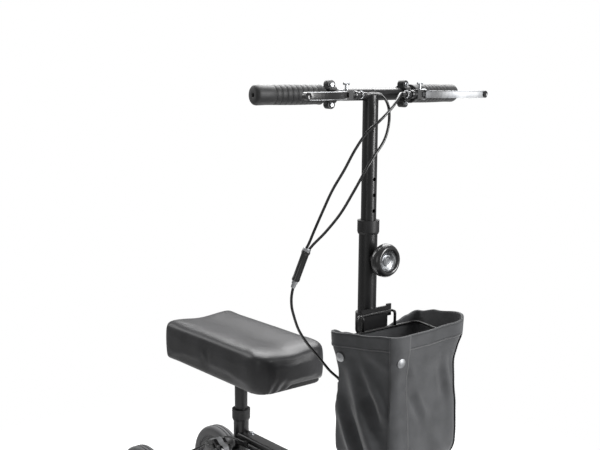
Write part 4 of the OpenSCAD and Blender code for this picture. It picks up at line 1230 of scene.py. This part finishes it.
class SCOOTER_OT_wheels(bpy.types.Operator):
    """Solid tyres with a grooved tread on five-spoke moulded rims"""

    bl_idname = "scooter.wheels"
    bl_label = "Wheels"

    def execute(self, context):
        for end in ("front", "rear"):
            for side in ("left", "right"):
                self.tyre(end, side)
        return {"FINISHED"}

    def tyre(self, end, side):
        """A turned tyre with rounded shoulders, two grooves and a lip against the rim."""
        low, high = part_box(f"{end}_{side}_tyre")
        centre = (low + high) / 2
        outer = (high.z - low.z) / 2 / MM
        half = (high.y - low.y) / 2 / MM
        shoulder = 9
        profile = [(outer - 22.8, -half + 2.5), (outer - 22.0, -half + 0.6), (outer - 20, -half + 0.2),
                   (outer - 12, -half)]
        for k in range(7):
            turn = math.radians(90 * k / 6)
            profile.append((outer - shoulder * (1 - math.sin(turn)), -half + shoulder * (1 - math.cos(turn))))
        for groove in (-4.2, 4.2):
            profile += [(outer, groove - 1.5), (outer - 0.4, groove - 1.1), (outer - 1.8, groove - 0.7),
                        (outer - 1.8, groove + 0.7), (outer - 0.4, groove + 1.1), (outer, groove + 1.5)]
        mirror_part = [(r, -h) for r, h in profile[:11]]
        profile += mirror_part[::-1]
        turned_piece(f"{end}_{side}_tread", profile, heading(centre, Vector((0, 1, 0))), "tyre",
                     f"{end}_{side}_wheel", [f"{end}_{side}_tyre"], 96)


# ---- fasteners and small fittings ----

class SCOOTER_OT_fittings(bpy.types.Operator):
    """The bright screw on top of the beam"""

    bl_idname = "scooter.fittings"
    bl_label = "Fittings"

    def execute(self, context):
        beam_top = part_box("main_beam")[1].z
        head = [(0, 2.4), (1.9, 2.4), (2.0, 4.2), (4.0, 4.4), (5.2, 3.8), (5.6, 2.4), (5.6, 0.6), (7.6, 0.5),
                (7.8, 0), (0, 0)]
        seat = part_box("seat_tube")
        post_x = (seat[0].x + seat[1].x) / 2
        place = heading(Vector((post_x + 32 * MM, 5 * MM, beam_top)), Z_AXIS)
        turned_piece("beam_screw", head, place, "zinc", "frame", steps=32)
        return {"FINISHED"}


# ---- panel and registration ----

OPERATORS = (
    SCOOTER_OT_stage, SCOOTER_OT_frame_finishes, SCOOTER_OT_cables, SCOOTER_OT_knee_pad, SCOOTER_OT_bag,
    SCOOTER_OT_basket_wire, SCOOTER_OT_grips, SCOOTER_OT_levers, SCOOTER_OT_knobs, SCOOTER_OT_wheels,
    SCOOTER_OT_fittings,
)


class SCOOTER_PT_panel(bpy.types.Panel):
    """Lists the scooter's operators in the sidebar"""

    bl_label = "Knee Scooter"
    bl_idname = "SCOOTER_PT_panel"
    bl_space_type = "VIEW_3D"
    bl_region_type = "UI"
    bl_category = "Scooter"

    def draw(self, context):
        layout = self.layout
        for name in ScooterSettings.__annotations__:
            layout.prop(context.scene.knee_scooter, name)
        for operator in OPERATORS:
            layout.operator(operator.bl_idname)


def register():
    for cls in (ScooterSettings, *OPERATORS, SCOOTER_PT_panel):
        bpy.utils.register_class(cls)
    bpy.types.Scene.knee_scooter = PointerProperty(type=ScooterSettings)


def unregister():
    del bpy.types.Scene.knee_scooter
    for cls in reversed((ScooterSettings, *OPERATORS, SCOOTER_PT_panel)):
        bpy.utils.unregister_class(cls)


def main():
    """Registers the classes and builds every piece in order."""
    register()
    for operator in OPERATORS:
        group, name = operator.bl_idname.split(".")
        getattr(getattr(bpy.ops, group), name)()


if __name__ == "__main__":
    main()
